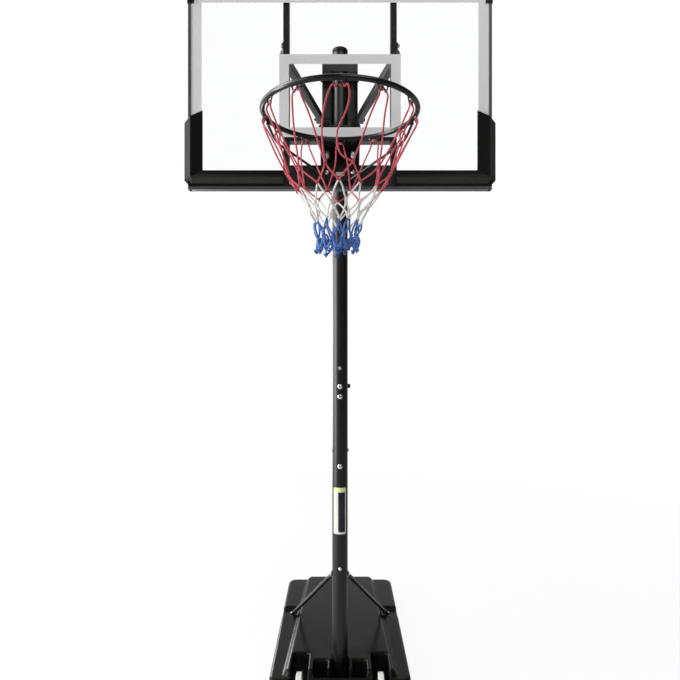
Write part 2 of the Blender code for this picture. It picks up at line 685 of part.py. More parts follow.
def build_struts():
    """Two tubes with flattened ends from the pole's sides down to the tank's shoulders."""
    tab_x = POLE_RADIUS + FIT
    outer_x = tab_x + STRUT_TAB_THICKNESS
    tab_bottom = STRUT_SEAT_Z + FIT
    for side, name in ((-1, "strut_left"), (1, "strut_right")):
        top_end = Vector((side * (tab_x + STRUT_TAB_THICKNESS / 2 + 0.006), 0.020,
                          STRUT_TOP_Z - 0.016))
        foot_end = Vector((side * (STRUT_SEAT_X - 0.006), STRUT_SEAT_Y - 0.014,
                           tab_bottom + STRUT_RADIUS))
        strut = bar(name, BLACK_COAT, STRUT_RADIUS, top_end, foot_end, 16)
        near, far = sorted((side * tab_x, side * outer_x))
        top_tab = block(name + "_top_tab", None,
                        (near, -STRUT_TAB_HALF_WIDTH, STRUT_TOP_Z - STRUT_TAB_LENGTH / 2),
                        (far, STRUT_TAB_LENGTH, STRUT_TOP_Z + STRUT_TAB_HALF_WIDTH))
        foot_tab = block(name + "_foot_tab", None,
                         (side * STRUT_SEAT_X - STRUT_TAB_HALF_WIDTH,
                          STRUT_SEAT_Y - STRUT_TAB_LENGTH / 2, tab_bottom),
                         (side * STRUT_SEAT_X + STRUT_TAB_HALF_WIDTH,
                          STRUT_SEAT_Y + STRUT_TAB_LENGTH / 2,
                          tab_bottom + STRUT_TAB_THICKNESS))
        join(strut, top_tab, foot_tab)
        pole_clearance = bore(name + "_pole_clearance", "Z", (0.0, 0.0, STRUT_TOP_Z),
                              POLE_RADIUS + FIT, 0.06, POLE_SIDES)
        cross_hole = bore(name + "_cross_hole", "X", (0.0, 0.0, STRUT_TOP_Z),
                          BOLT_RADIUS + FIT, 0.1)
        foot_hole = bore(name + "_foot_hole", "Z", (side * STRUT_SEAT_X, STRUT_SEAT_Y,
                                                   tab_bottom), BOLT_RADIUS + FIT, 0.03)
        cut(strut, pole_clearance, cross_hole, foot_hole)
        tag = name.removeprefix("strut_")
        foot_bolt = turned("strut_foot_bolt_" + tag, ZINC, [
            (0.0, BOLT_HEAD_HEIGHT), (NUT_RADIUS, BOLT_HEAD_HEIGHT), (NUT_RADIUS, 0.0),
            (BOLT_RADIUS, 0.0), (BOLT_RADIUS, -0.026), (0.0, -0.026)], BOLT_SIDES)
        foot_bolt.location = (side * STRUT_SEAT_X, STRUT_SEAT_Y,
                              tab_bottom + STRUT_TAB_THICKNESS + FIT)
    bolt("strut_cross_bolt", "X", (0.0, 0.0, STRUT_TOP_Z), outer_x, outer_x,
         head_radius=NUT_RADIUS)


def build_channel():
    """The wide channel on the pole's back that the upper arms pivot on."""
    back_inner = POLE_RADIUS + FIT
    back = back_inner + CHANNEL_PLATE
    outer, inner = CHANNEL_HALF_WIDTH, CHANNEL_HALF_WIDTH - CHANNEL_PLATE
    outline = [(outer, CHANNEL_FRONT_Y), (outer, back), (-outer, back),
               (-outer, CHANNEL_FRONT_Y), (-inner, CHANNEL_FRONT_Y), (-inner, back_inner),
               (inner, back_inner), (inner, CHANNEL_FRONT_Y)]
    channel = plate("mast_channel", BLACK_COAT, "Z", outline, CHANNEL_BOTTOM_Z, CHANNEL_TOP_Z)
    strap = block("channel_strap", None,
                  (-inner - CHANNEL_PLATE / 2, -back, CHANNEL_TOP_Z - STRAP_HEIGHT),
                  (inner + CHANNEL_PLATE / 2, -back_inner, CHANNEL_TOP_Z - FIT))
    join(channel, strap)
    cut(channel, bore("channel_pivot_hole", "X", (0.0, 0.0, UPPER_PIVOT_Z),
                      PIVOT_BOLT_RADIUS + FIT, 2 * outer),
        bore("channel_bolt_hole_wide", "X", (0.0, 0.0, CHANNEL_BOLT_Z), BOLT_RADIUS + FIT,
             2 * outer))
    bolt("channel_bolt", "X", (0.0, 0.0, CHANNEL_BOLT_Z), outer, outer,
         head_radius=NUT_RADIUS)


def ribbon(path, half_width):
    """The outline of a strip that follows a plan path, mitred at its bends."""
    left, right = [], []
    for i, point in enumerate(path):
        here = Vector(point)
        before = (here - Vector(path[i - 1])).normalized() if i else None
        after = (Vector(path[i + 1]) - here).normalized() if i + 1 < len(path) else None
        before, after = before or after, after or before
        along = (before + after).normalized()
        reach = half_width / along.dot(after)
        across = Vector((-along.y, along.x)) * reach
        left.append(tuple(here + across))
        right.append(tuple(here - across))
    return right + left[::-1]


def build_arms():
    """The upper pair, bent outwards to the uprights, and the straight lower pair."""
    upper, lower = [], []
    for side, tag in ((-1, "left"), (1, "right")):
        near_x, far_x = side * UPPER_ARM_POLE_X, side * UPPER_ARM_BOARD_X
        path = [(near_x, ARM_OVERHANG), (near_x, -ARM_STRAIGHT_END),
                (far_x, BOARD_PIVOT_Y + ARM_STRAIGHT_END), (far_x, BOARD_PIVOT_Y - ARM_OVERHANG)]
        long_path = [(near_x, 2 * ARM_OVERHANG), *path[1:3],
                     (far_x, BOARD_PIVOT_Y - 2 * ARM_OVERHANG)]
        low, high = UPPER_PIVOT_Z - UPPER_ARM_HALF, UPPER_PIVOT_Z + UPPER_ARM_HALF
        arm = plate("upper_arm_" + tag, BLACK_COAT, "Z", ribbon(path, UPPER_ARM_HALF), low, high)
        cut(arm,
            plate(f"upper_arm_{tag}_bore", None, "Z",
                  ribbon(long_path, UPPER_ARM_HALF - ARM_WALL), low + ARM_WALL,
                  high - ARM_WALL),
            bore(f"upper_arm_{tag}_pole_hole", "X", (near_x, 0.0, UPPER_PIVOT_Z),
                 PIVOT_BOLT_RADIUS + FIT, 2 * UPPER_ARM_HALF),
            bore(f"upper_arm_{tag}_board_hole", "X", (far_x, BOARD_PIVOT_Y, UPPER_PIVOT_Z),
                 PIVOT_BOLT_RADIUS + FIT, 2 * UPPER_ARM_HALF))
        upper.append(arm)
        centre_x = side * LOWER_ARM_X
        arm = hollow("lower_arm_" + tag, BLACK_COAT,
                     (centre_x - LOWER_ARM_HALF, BOARD_PIVOT_Y - LOWER_ARM_OVERHANG,
                      LOWER_PIVOT_Z - LOWER_ARM_HALF),
                     (centre_x + LOWER_ARM_HALF, LINK_REACH + LOWER_ARM_OVERHANG,
                      LOWER_PIVOT_Z + LOWER_ARM_HALF), ARM_WALL, "Y")
        for end, where, radius in (("pole", 0.0, PIVOT_BOLT_RADIUS),
                                   ("board", BOARD_PIVOT_Y, PIVOT_BOLT_RADIUS),
                                   ("link", LINK_REACH, LINK_PIN_RADIUS)):
            cut(arm, bore(f"lower_arm_{tag}_{end}_hole", "X", (centre_x, where, LOWER_PIVOT_Z),
                          radius + FIT, 2 * LOWER_ARM_HALF))
        lower.append(arm)
    upper_reach = UPPER_ARM_POLE_X + UPPER_ARM_HALF + PIVOT_GAP
    lower_reach = LOWER_ARM_X + LOWER_ARM_HALF + PIVOT_GAP
    bolt("upper_pivot_bolt", "X", (0.0, 0.0, UPPER_PIVOT_Z), upper_reach, upper_reach,
         head_radius=NUT_RADIUS * 1.2, radius=PIVOT_BOLT_RADIUS)
    bolt("lower_pivot_bolt", "X", (0.0, 0.0, LOWER_PIVOT_Z), lower_reach, lower_reach,
         head_radius=NUT_RADIUS * 1.2, radius=PIVOT_BOLT_RADIUS)
    link_pin = bolt("arm_link_pin", "X", (0.0, LINK_REACH, LOWER_PIVOT_Z), lower_reach,
                    lower_reach, head_radius=NUT_RADIUS, radius=LINK_PIN_RADIUS)
    pivot_empty("upper_arms", (0.0, 0.0, UPPER_PIVOT_Z), upper)
    pivot_empty("lower_arms", (0.0, 0.0, LOWER_PIVOT_Z), lower + [link_pin])


def build_adjuster():
    """The push rod behind the pole, the guide it slides in and the knob that locks it."""
    plate_y = POLE_RADIUS + FIT
    sleeve = ROD_HALF + FIT
    shell = sleeve + GUIDE_PLATE
    front_wall = ROD_Y - shell
    guide = block("height_guide", BLACK_COAT, (-GUIDE_HALF_WIDTH, plate_y, GUIDE_BOTTOM_Z),
                  (GUIDE_HALF_WIDTH, plate_y + GUIDE_PLATE, GUIDE_TOP_Z))
    stem_low, stem_high = GUIDE_BOTTOM_Z + 0.02, GUIDE_TOP_Z - 0.01
    stem = block("guide_stem", None, (-shell, plate_y + GUIDE_PLATE / 2, stem_low),
                 (shell, ROD_Y + shell, stem_high))
    between = block("guide_hollow", None,
                    (-sleeve, plate_y + GUIDE_PLATE, stem_low - GUIDE_PLATE),
                    (sleeve, front_wall, stem_high + GUIDE_PLATE))
    join(guide, stem)
    cut(guide, between,
        block("guide_bore", None, (-sleeve, ROD_Y - sleeve, stem_low - GUIDE_PLATE),
              (sleeve, ROD_Y + sleeve, stem_high + GUIDE_PLATE)),
        bore("lock_screw_hole", "X", (shell, ROD_Y, LOCK_KNOB_Z), LOCK_SCREW_RADIUS + FIT,
             GUIDE_PLATE + ROD_HALF / 2))
    for i, height in enumerate(GUIDE_BOLT_HEIGHTS):
        cut(guide, bore(f"guide_hole_{i + 1}", "Y", (0.0, plate_y, height),
                        BOLT_RADIUS + FIT, 3 * GUIDE_PLATE))
        bolt(f"guide_bolt_{i + 1}", "Y", (0.0, 0.0, height), POLE_RADIUS,
             plate_y + GUIDE_PLATE)
    swing_back = LINK_REACH * (1.0 - math.cos(RAISE_LIMIT))
    slot_front = LINK_REACH - swing_back - LINK_PIN_RADIUS - ROD_SLOT_PLAY_Y
    slot_rear = LINK_REACH + LINK_PIN_RADIUS + ROD_SLOT_PLAY_Y
    slot_half = LINK_PIN_RADIUS + ROD_SLOT_PLAY_Z
    head_low = LOWER_PIVOT_Z - ROD_HEAD_HALF_HEIGHT
    rod = hollow("adjuster_rod", BLACK_COAT, (-ROD_HALF, ROD_Y - ROD_HALF, ROD_BOTTOM_Z),
                 (ROD_HALF, ROD_Y + ROD_HALF, head_low + ROD_WALL), ROD_WALL, "Z")
    head_y = (slot_front + slot_rear) / 2
    head = block("rod_head", None,
                 (-ROD_HALF + FIT, head_y - ROD_HEAD_HALF_LENGTH, head_low),
                 (ROD_HALF - FIT, head_y + ROD_HEAD_HALF_LENGTH,
                  LOWER_PIVOT_Z + ROD_HEAD_HALF_HEIGHT))
    join(rod, head)
    cut(rod, block("rod_slot", None,
                   (-2 * ROD_HALF, slot_front, LOWER_PIVOT_Z - slot_half),
                   (2 * ROD_HALF, slot_rear, LOWER_PIVOT_Z + slot_half)))
    grip = bar("rod_grip", GRIP_RUBBER, GRIP_RADIUS, (0.0, ROD_Y, ROD_BOTTOM_Z),
               (0.0, ROD_Y, ROD_BOTTOM_Z + GRIP_LENGTH), 24)
    cut(grip, block("grip_bore", None,
                    (-sleeve, ROD_Y - sleeve, ROD_BOTTOM_Z - ROD_HALF),
                    (sleeve, ROD_Y + sleeve, ROD_BOTTOM_Z + GRIP_LENGTH + ROD_HALF)))
    knob = turned("height_lock_knob", CAP_PLASTIC, [
        (0.0, LOCK_KNOB_END_X), (LOCK_KNOB_RADIUS - 0.002, LOCK_KNOB_END_X),
        (LOCK_KNOB_RADIUS, LOCK_KNOB_END_X - 0.002), (LOCK_KNOB_RADIUS, shell + PIVOT_GAP),
        (LOCK_SCREW_RADIUS, shell + PIVOT_GAP), (LOCK_SCREW_RADIUS, ROD_HALF + FIT),
        (0.0, ROD_HALF + FIT)], 16)
    knob.location = (0.0, ROD_Y, LOCK_KNOB_Z)
    knob.rotation_euler = (0.0, math.pi / 2, 0.0)
    pivot_empty("adjuster", (0.0, ROD_Y, LOWER_PIVOT_Z), [rod, grip])


def c_section(near, far, front, back, plate_thickness, lip):
    """The outline of a channel whose web is at near and whose open side looks to far."""
    toward = 1 if far > near else -1
    inner = near + toward * plate_thickness
    edge = near + toward * lip
    loop = [(near, front), (edge, front), (edge, front + plate_thickness),
            (inner, front + plate_thickness), (inner, back - plate_thickness),
            (edge, back - plate_thickness), (edge, back), (near, back)]
    return loop


def build_frame():
    """Four channel rails round the clear panel, and the sub-frame behind it."""
    pieces = []
    back_y = BOARD_FRONT_Y + FRAME_DEPTH
    for side, name in ((-1, "frame_rail_left"), (1, "frame_rail_right")):
        outline = c_section(side * BOARD_HALF_WIDTH, 0.0, BOARD_FRONT_Y, back_y, FRAME_PLATE,
                            FRAME_LIP)
        pieces.append(plate(name, GREY_COAT, "Z", outline, BOARD_BOTTOM_Z, BOARD_TOP_Z))
    rail_end = BOARD_HALF_WIDTH - FRAME_LIP - FIT
    for height, name in ((BOARD_BOTTOM_Z, "frame_rail_bottom"), (BOARD_TOP_Z, "frame_rail_top")):
        middle = (BOARD_BOTTOM_Z + BOARD_TOP_Z) / 2
        outline = [(v, u) for u, v in c_section(height, middle, BOARD_FRONT_Y, back_y,
                                                FRAME_PLATE, FRAME_LIP)]
        pieces.append(plate(name, GREY_COAT, "X", outline, -rail_end, rail_end))
    inset = FRAME_PLATE + FIT
    bolt_places = [(side * RING_BOLT_X, height) for side in (-1, 1)
                   for height in RING_BOLT_HEIGHTS]
    bolt_holes = [circle(where, BOLT_RADIUS + FIT) for where in bolt_places]
    left, right = inset - BOARD_HALF_WIDTH, BOARD_HALF_WIDTH - inset
    low, high = BOARD_BOTTOM_Z + inset, BOARD_TOP_Z - inset
    pieces.append(plate("backboard_panel", CLEAR_SHEET, "Y",
                        [(left, low), (right, low), (right, high), (left, high)],
                        PANEL_FRONT_Y, PANEL_BACK_Y, bolt_holes))
    upright_low = BOARD_BOTTOM_Z + FRAME_LIP + FIT
    upright_high = BOARD_TOP_Z - FRAME_LIP - FIT
    for side, name in ((-1, "upright_left"), (1, "upright_right")):
        upright = hollow(name, BLACK_COAT,
                         (side * UPRIGHT_X - UPRIGHT_HALF_WIDTH, SUBFRAME_Y, upright_low),
                         (side * UPRIGHT_X + UPRIGHT_HALF_WIDTH, SUBFRAME_Y + UPRIGHT_DEPTH,
                          upright_high), TUBE_WALL, "Z")
        cut(upright, bore(name + "_hole", "X", (side * UPRIGHT_X, BOARD_PIVOT_Y, UPPER_PIVOT_Z),
                          PIVOT_BOLT_RADIUS + FIT, 2 * UPRIGHT_HALF_WIDTH))
        pieces.append(upright)
    bar_end = UPRIGHT_X - UPRIGHT_HALF_WIDTH - FIT
    crossbar = hollow("crossbar", BLACK_COAT, (-bar_end, SUBFRAME_Y, CROSSBAR_BOTTOM_Z),
                      (bar_end, SUBFRAME_Y + CROSSBAR_DEPTH, CROSSBAR_TOP_Z), TUBE_WALL, "X")
    for side in (-1, 1):
        for edge, inward in ((LOWER_ARM_HALF + PIVOT_GAP, 1), (-LOWER_ARM_HALF - PIVOT_GAP, -1)):
            face = side * (LOWER_ARM_X + edge)
            other = face + side * inward * LUG_PLATE
            tag = f"{side}_{inward}"
            join(crossbar, block("lug_" + tag, None,
                                 (min(face, other), BOARD_PIVOT_Y - LUG_HALF_WIDTH,
                                  CROSSBAR_TOP_Z - TUBE_WALL / 2),
                                 (max(face, other), BOARD_PIVOT_Y + LUG_HALF_WIDTH,
                                  LOWER_PIVOT_Z + LUG_RISE)))
    cut(crossbar, bore("lug_hole", "X", (0.0, BOARD_PIVOT_Y, LOWER_PIVOT_Z),
                       PIVOT_BOLT_RADIUS + FIT, 0.1))
    pieces.append(crossbar)
    tongue, wide = BACKING_TONGUE_HALF_WIDTH, bar_end
    outline = [(-wide, upright_low), (wide, upright_low), (wide, BACKING_TOP_Z),
               (tongue, BACKING_TOP_Z), (tongue, CROSSBAR_BOTTOM_Z - FIT),
               (-tongue, CROSSBAR_BOTTOM_Z - FIT), (-tongue, BACKING_TOP_Z),
               (-wide, BACKING_TOP_Z)]
    pieces.append(plate("ring_backing_plate", BLACK_COAT, "Y", outline, SUBFRAME_Y,
                        SUBFRAME_Y + BACKING_PLATE, bolt_holes))
    upper_half = UPRIGHT_HALF_WIDTH + PIVOT_GAP + 2 * UPPER_ARM_HALF + PIVOT_GAP
    for side, name in ((-1, "board_pivot_bolt_left"), (1, "board_pivot_bolt_right")):
        made = bolt(name, "X", (side * UPRIGHT_X, BOARD_PIVOT_Y, UPPER_PIVOT_Z), upper_half,
                    UPRIGHT_HALF_WIDTH, head_radius=NUT_RADIUS * 1.2, radius=PIVOT_BOLT_RADIUS)
        made.rotation_euler = (0.0, side * math.pi / 2, 0.0)
        pieces.append(made)
    lug_reach = LOWER_ARM_X + LOWER_ARM_HALF + PIVOT_GAP + LUG_PLATE
    pieces.append(bolt("lower_board_bolt", "X", (0.0, BOARD_PIVOT_Y, LOWER_PIVOT_Z), lug_reach,
                       lug_reach, head_radius=NUT_RADIUS * 1.2, radius=PIVOT_BOLT_RADIUS))
    for i, (x, z) in enumerate(bolt_places):
        middle = (BRACKET_FRONT_Y + SUBFRAME_Y + BACKING_PLATE) / 2
        grip = SUBFRAME_Y + BACKING_PLATE - middle
        pieces.append(bolt(f"ring_bolt_{i + 1}", "Y", (x, middle, z), grip, grip,
                           head_radius=RING_BOLT_HEAD_RADIUS))
    return pieces


def build_trim():
    """Soft pads on the lower corners and small caps on the upper ones."""
    pieces = []
    skin = BOARD_FRONT_Y - FIT
    face = skin - PAD_THICKNESS
    back = BOARD_FRONT_Y + FRAME_DEPTH
    side_wall = BOARD_HALF_WIDTH + FIT
    outer = BOARD_HALF_WIDTH + PAD_SIDE_REACH
    under = BOARD_BOTTOM_Z - PAD_UNDER_REACH
    floor = BOARD_BOTTOM_Z - FIT
    band_x = BOARD_HALF_WIDTH - PAD_SIDE_BAND
    band_z = BOARD_BOTTOM_Z + PAD_BOTTOM_BAND
    for side, tag in ((-1, "left"), (1, "right")):
        plan = [(band_x, skin), (band_x, face), (BOARD_HALF_WIDTH, face),
                (outer, face + PAD_SIDE_REACH), (outer, back), (side_wall, back),
                (side_wall, skin)]
        plan = [(side * u, v) for u, v in plan]
        pad = plate("corner_pad_" + tag, PAD_RUBBER, "Z", plan, under, PAD_TOP_Z)
        section = [(skin, band_z), (face, band_z), (face, BOARD_BOTTOM_Z + PAD_CHAMFER_TOP),
                   (skin, under), (back, under), (back, floor), (skin, floor)]
        ends = sorted((side * PAD_END_X, side * (side_wall + FIT)))
        strip = plate(f"pad_{tag}_strip", None, "X", section, *ends)
        top_cut = plate(f"pad_{tag}_top_cut", None, "Y",
                        [(side * band_x, PAD_TOP_Z), (side * BOARD_HALF_WIDTH,
                                                      PAD_TOP_Z - PAD_TOP_DROP),
                         (side * (outer + FIT), PAD_TOP_Z - 2 * PAD_TOP_DROP),
                         (side * (outer + FIT), PAD_TOP_Z + PAD_TOP_DROP),
                         (side * band_x, PAD_TOP_Z + PAD_TOP_DROP)],
                        face - PAD_THICKNESS, back + PAD_THICKNESS)
        corner_cut = plate(f"pad_{tag}_corner_cut", None, "Y",
                           [(side * (outer - PAD_CORNER_CUT), under - FIT),
                            (side * (outer + PAD_CORNER_CUT), under - FIT),
                            (side * (outer + PAD_CORNER_CUT), under + PAD_CORNER_CUT),
                            (side * (outer + FIT), under + PAD_CORNER_CUT)],
                           face - PAD_THICKNESS, back + PAD_THICKNESS)
        pieces.append(cut(join(pad, strip), top_cut, corner_cut))
        reach = BOARD_HALF_WIDTH + CAP_SKIN
        crown = BOARD_TOP_Z + CAP_SKIN
        corners = [(reach - CAP_WIDTH, crown - CAP_DROP), (reach, crown - CAP_DROP),
                   (reach, crown), (reach - CAP_WIDTH, crown)]
        outline = [(side * u, v) for u, v in
                   round_corners(corners, [0.0, 0.0, CAP_CORNER_RADIUS, 0.0])]
        cap = plate("corner_cap_" + tag, CAP_PLASTIC, "Y", outline, skin - CAP_SKIN, back)
        inside = sorted((0.0, side * side_wall))
        pieces.append(cut(cap, block(f"corner_cap_{tag}_seat", None,
                                     (inside[0], skin, crown - 2 * CAP_DROP),
                                     (inside[1], back + CAP_SKIN, BOARD_TOP_Z + FIT))))
    return pieces


def ring_point(angle, radius, depth):
    """A point round the ring's centre, at a depth below the ring's plane."""
    return Vector((radius * math.cos(angle), RING_Y + radius * math.sin(angle),
                   RING_Z - depth))


def build_ring():
    """The ring with its net hooks, the bracket on the board and the bent brace."""
    bpy.ops.mesh.primitive_torus_add(location=(0.0, RING_Y, RING_Z), major_segments=RING_STEPS,
                                     minor_segments=8, major_radius=RING_RADIUS,
                                     minor_radius=RING_TUBE_RADIUS)
    torus = bpy.context.object
    mesh = torus.data
    bpy.data.objects.remove(torus, do_unlink=True)
    smooth(mesh)
    rim = place("rim", mesh, BLACK_COAT)
    rim.location = (0.0, RING_Y, RING_Z)
    corners = [(-HOOK_HALF_SPAN, RING_TUBE_RADIUS / 2),
               (-HOOK_VALLEY_OFFSET, HOOK_VALLEY_DEPTH), (0.0, HOOK_PEAK_DEPTH),
               (HOOK_VALLEY_OFFSET, HOOK_VALLEY_DEPTH), (HOOK_HALF_SPAN, RING_TUBE_RADIUS / 2)]
    paths = []
    for i in range(HOOK_COUNT):
        angle = -math.pi / 2 + 2 * math.pi * i / HOOK_COUNT
        tangent = Vector((-math.sin(angle), math.cos(angle), 0.0))
        paths.append([ring_point(angle, HOOK_RADIUS, depth) + tangent * offset
                      for offset, depth in corners])
    join(rim, wire("net_hooks", None, paths, HOOK_WIRE_RADIUS, 0))
    back = BRACKET_FRONT_Y + BRACKET_PLATE
    half = BRACKET_HALF_WIDTH
    bolt_holes = [circle((side * RING_BOLT_X, height), BOLT_RADIUS + FIT)
                  for side in (-1, 1) for height in RING_BOLT_HEIGHTS]
    bracket = plate("ring_bracket", BLACK_COAT, "Y",
                    [(-half, BRACKET_BOTTOM_Z), (half, BRACKET_BOTTOM_Z),
                     (half, BRACKET_TOP_Z), (-half, BRACKET_TOP_Z)],
                    BRACKET_FRONT_Y, back, bolt_holes)
    nose_y = RING_Y + RING_RADIUS
    shelf_top = RING_Z + BRACKET_PLATE / 2
    shelf = block("bracket_shelf", None,
                  (-half + FIT, nose_y, RING_Z - BRACKET_PLATE / 2),
                  (half - FIT, back - BRACKET_PLATE / 2, shelf_top))
    join(bracket, shelf)
    for side in (-1, 1):
        ends = sorted((side * (half - FIT), side * (half - BRACKET_PLATE)))
        gusset = [(back - BRACKET_PLATE / 2, BRACKET_BOTTOM_Z + FIT),
                  (back - BRACKET_PLATE / 2, shelf_top - FIT),
                  (nose_y, shelf_top - FIT), (nose_y, RING_Z - GUSSET_NOSE_HEIGHT)]
        join(bracket, plate(f"bracket_gusset_{side}", None, "X", gusset, *ends))
    cut(bracket, bore("ring_clearance", "Z", (0.0, RING_Y, RING_Z),
                      RING_RADIUS + RING_TUBE_RADIUS + FIT, 0.05, 2 * RING_STEPS))
    foot_y = BRACKET_FRONT_Y - FIT - BRACE_RADIUS
    foot_z = BRACKET_BOTTOM_Z + BRACE_FOOT_RISE
    under_ring = RING_TUBE_RADIUS + FIT + BRACE_RADIUS
    end = ring_point(BRACE_END_ANGLE, RING_RADIUS, under_ring)
    half_path = [Vector((BRACE_FOOT_X, foot_y, foot_z)), Vector(BRACE_KNEE), end]
    mirrored = [Vector((-p.x, p.y, p.z)) for p in half_path[::-1]]
    brace = wire("ring_brace", BLACK_COAT, [mirrored + half_path], BRACE_RADIUS, 2)
    return [rim, bracket, brace]


def net_point(row, column, share=0.0, toward=0.0):
    """A point on a cord from a knot towards a neighbour in the next row down."""
    depth, radius = NET_ROWS[row]
    turn = column + row / 2
    if share > 0.0:
        next_depth, next_radius = NET_ROWS[row + 1]
        depth += (next_depth - depth) * share
        radius += (next_radius - radius) * share
        turn += toward * share / 2
    angle = -math.pi / 2 + 2 * math.pi * turn / HOOK_COUNT
    return ring_point(angle, radius, depth)


def build_net():
    """A tube of knotted cords hung from the hooks, as an open lattice."""
    shape = bmesh.new()
    knots = {}

    def vertex(key, where):
        if key not in knots:
            knots[key] = shape.verts.new(where)
        return knots[key]

    def cord(row, column, toward):
        """Vertices along a cord, from its upper knot to its lower one."""
        steps = NET_LONG_STEPS if row == 0 else NET_SHORT_STEPS
        lower_column = (column + (0 if toward > 0 else -1)) % HOOK_COUNT
        run = [vertex((row, column, 0), net_point(row, column))]
        for step in range(1, steps):
            run.append(vertex((row, column, toward * step),
                              net_point(row, column, step / steps, toward)))
        run.append(vertex((row + 1, lower_column, 0), net_point(row + 1, lower_column)))
        return run

    for row in range(len(NET_ROWS) - 2):
        for column in range(HOOK_COUNT):
            right_down = cord(row, column, 1)
            left_down = cord(row, column, -1)
            before = (column - 1) % HOOK_COUNT
            right_back = cord(row + 1, column, -1)
            left_back = cord(row + 1, before, 1)
            loop = right_down[:-1] + right_back[:-1] + left_back[:0:-1] + left_down[:0:-1]
            shape.faces.new(loop)
    surface = bpy.data.meshes.new("net_lattice")
    shape.to_mesh(surface)
    shape.free()
    split_z = RING_Z - NET_SPLIT_DEPTH
    reach = 2 * RING_RADIUS
    bands = (("net_upper", RED_CORD, split_z + FIT / 2, RING_Z + reach),
             ("net_lower", WHITE_CORD, RING_Z - reach, split_z - FIT / 2))
    pieces = []
    for name, coat, low, high in bands:
        net = place(name, surface.copy(), coat)
        cords = net.modifiers.new("cords", "WIREFRAME")
        cords.thickness = NET_CORD
        cords.use_boundary = True
        cords.use_replace = True
        cords.use_even_offset = True
        keep = block(name + "_band", None, (-reach, RING_Y - reach, low),
                     (reach, RING_Y + reach, high))
        pieces.append(combine(net, "INTERSECT", [keep]))
    return pieces


build_base()
build_pole()
build_struts()
build_channel()
build_arms()
build_adjuster()
board_pieces = build_frame() + build_trim() + build_ring() + build_net()
pivot_empty("backboard", (0.0, BOARD_PIVOT_Y, UPPER_PIVOT_Z), board_pieces)
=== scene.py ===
# %% [markdown]
# # Dressing a basketball stand
# The solids of the stand are ready: where every tube, plate and bolt sits, and how the
# board rides up and down. This lesson gives them their looks, one piece at a time: black
# powder coat, zinc bolts, a moulded tank, a knotted net and a clear board with printed lines.

# %% Loading the solids
import json
import math
import random

import bmesh
import bpy
from mathutils import Matrix, Vector

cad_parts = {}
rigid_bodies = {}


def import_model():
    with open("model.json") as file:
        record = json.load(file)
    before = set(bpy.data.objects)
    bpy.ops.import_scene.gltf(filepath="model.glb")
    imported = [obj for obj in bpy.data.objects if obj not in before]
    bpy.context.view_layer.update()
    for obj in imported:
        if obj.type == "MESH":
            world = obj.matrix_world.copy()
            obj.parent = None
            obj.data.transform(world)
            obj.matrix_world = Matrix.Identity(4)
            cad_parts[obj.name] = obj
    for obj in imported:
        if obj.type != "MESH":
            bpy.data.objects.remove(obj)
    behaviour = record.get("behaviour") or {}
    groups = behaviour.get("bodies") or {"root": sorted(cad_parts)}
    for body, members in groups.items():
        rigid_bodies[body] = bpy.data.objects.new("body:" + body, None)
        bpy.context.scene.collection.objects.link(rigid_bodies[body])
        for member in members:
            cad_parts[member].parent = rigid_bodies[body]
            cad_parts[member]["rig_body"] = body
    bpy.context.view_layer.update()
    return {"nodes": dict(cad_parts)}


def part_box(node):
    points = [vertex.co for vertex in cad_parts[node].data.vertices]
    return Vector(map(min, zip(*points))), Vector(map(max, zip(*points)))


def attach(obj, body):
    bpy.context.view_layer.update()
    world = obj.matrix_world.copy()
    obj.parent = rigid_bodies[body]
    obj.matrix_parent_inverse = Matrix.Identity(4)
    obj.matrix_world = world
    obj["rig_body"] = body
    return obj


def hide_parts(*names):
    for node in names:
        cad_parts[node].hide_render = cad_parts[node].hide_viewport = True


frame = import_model()

# %% [markdown]
# ## The camera
# The picture was taken standing in front of the hoop, level, at eye height. The ring is
# 450 mm across inside, and the shape of its ellipse fixes the distance and the lens.

# %% The camera
EYE = (0.0, -2.80, 1.70)
LENS_MM = 30.25


def show(name, data):
    """An object in the scene for a mesh, a lamp or a camera."""
    made = bpy.data.objects.new(name, data)
    bpy.context.scene.collection.objects.link(made)
    return made


camera = show("eye", bpy.data.cameras.new("eye"))
camera.location = EYE
camera.rotation_euler = (math.radians(90), 0.0, 0.0)
camera.data.lens = LENS_MM
camera.data.sensor_width = 36.0
camera.data.clip_end = 60.0
bpy.context.scene.camera = camera
print("camera at", EYE, "lens", LENS_MM)

# %% [markdown]
# ## Small helpers for materials
# A material in Blender is a tree of nodes. A few helpers keep the trees short to write: one
# adds a node and fills or links its inputs, the others name what is needed again and again.


# %% Helpers for materials
def add(tree, kind, inputs=(), **options):
    """Add a shader node; an input that is given a socket is linked, any other is filled."""
    node = tree.nodes.new("ShaderNode" + kind)
    for option, value in options.items():
        setattr(node, option, value)
    for socket, value in dict(inputs).items():
        if isinstance(value, bpy.types.NodeSocket):
            tree.links.new(value, node.inputs[socket])
        else:
            node.inputs[socket].default_value = value
    return node


def maths(tree, operation, first, second=0.0, clamp=False):
    """The result of one arithmetic step."""
    return add(tree, "Math", {0: first, 1: second}, operation=operation,
               use_clamp=clamp).outputs[0]


def between(tree, share, low, high):
    """A colour between two others."""
    return add(tree, "Mix", {0: share, 6: low, 7: high}, data_type="RGBA").outputs[2]


def chosen(tree, share, low, high):
    """A value between two others."""
    return add(tree, "Mix", {0: share, 2: low, 3: high}, data_type="FLOAT").outputs[0]


def spread(tree, value, low, high, to_low=0.0, to_high=1.0):
    """A value stretched from one range to another and held inside it."""
    return add(tree, "MapRange", {"Value": value, "From Min": low, "From Max": high,
                                  "To Min": to_low, "To Max": to_high}).outputs[0]


def split(tree, vector):
    """The three parts of a vector."""
    return add(tree, "SeparateXYZ", {0: vector}).outputs


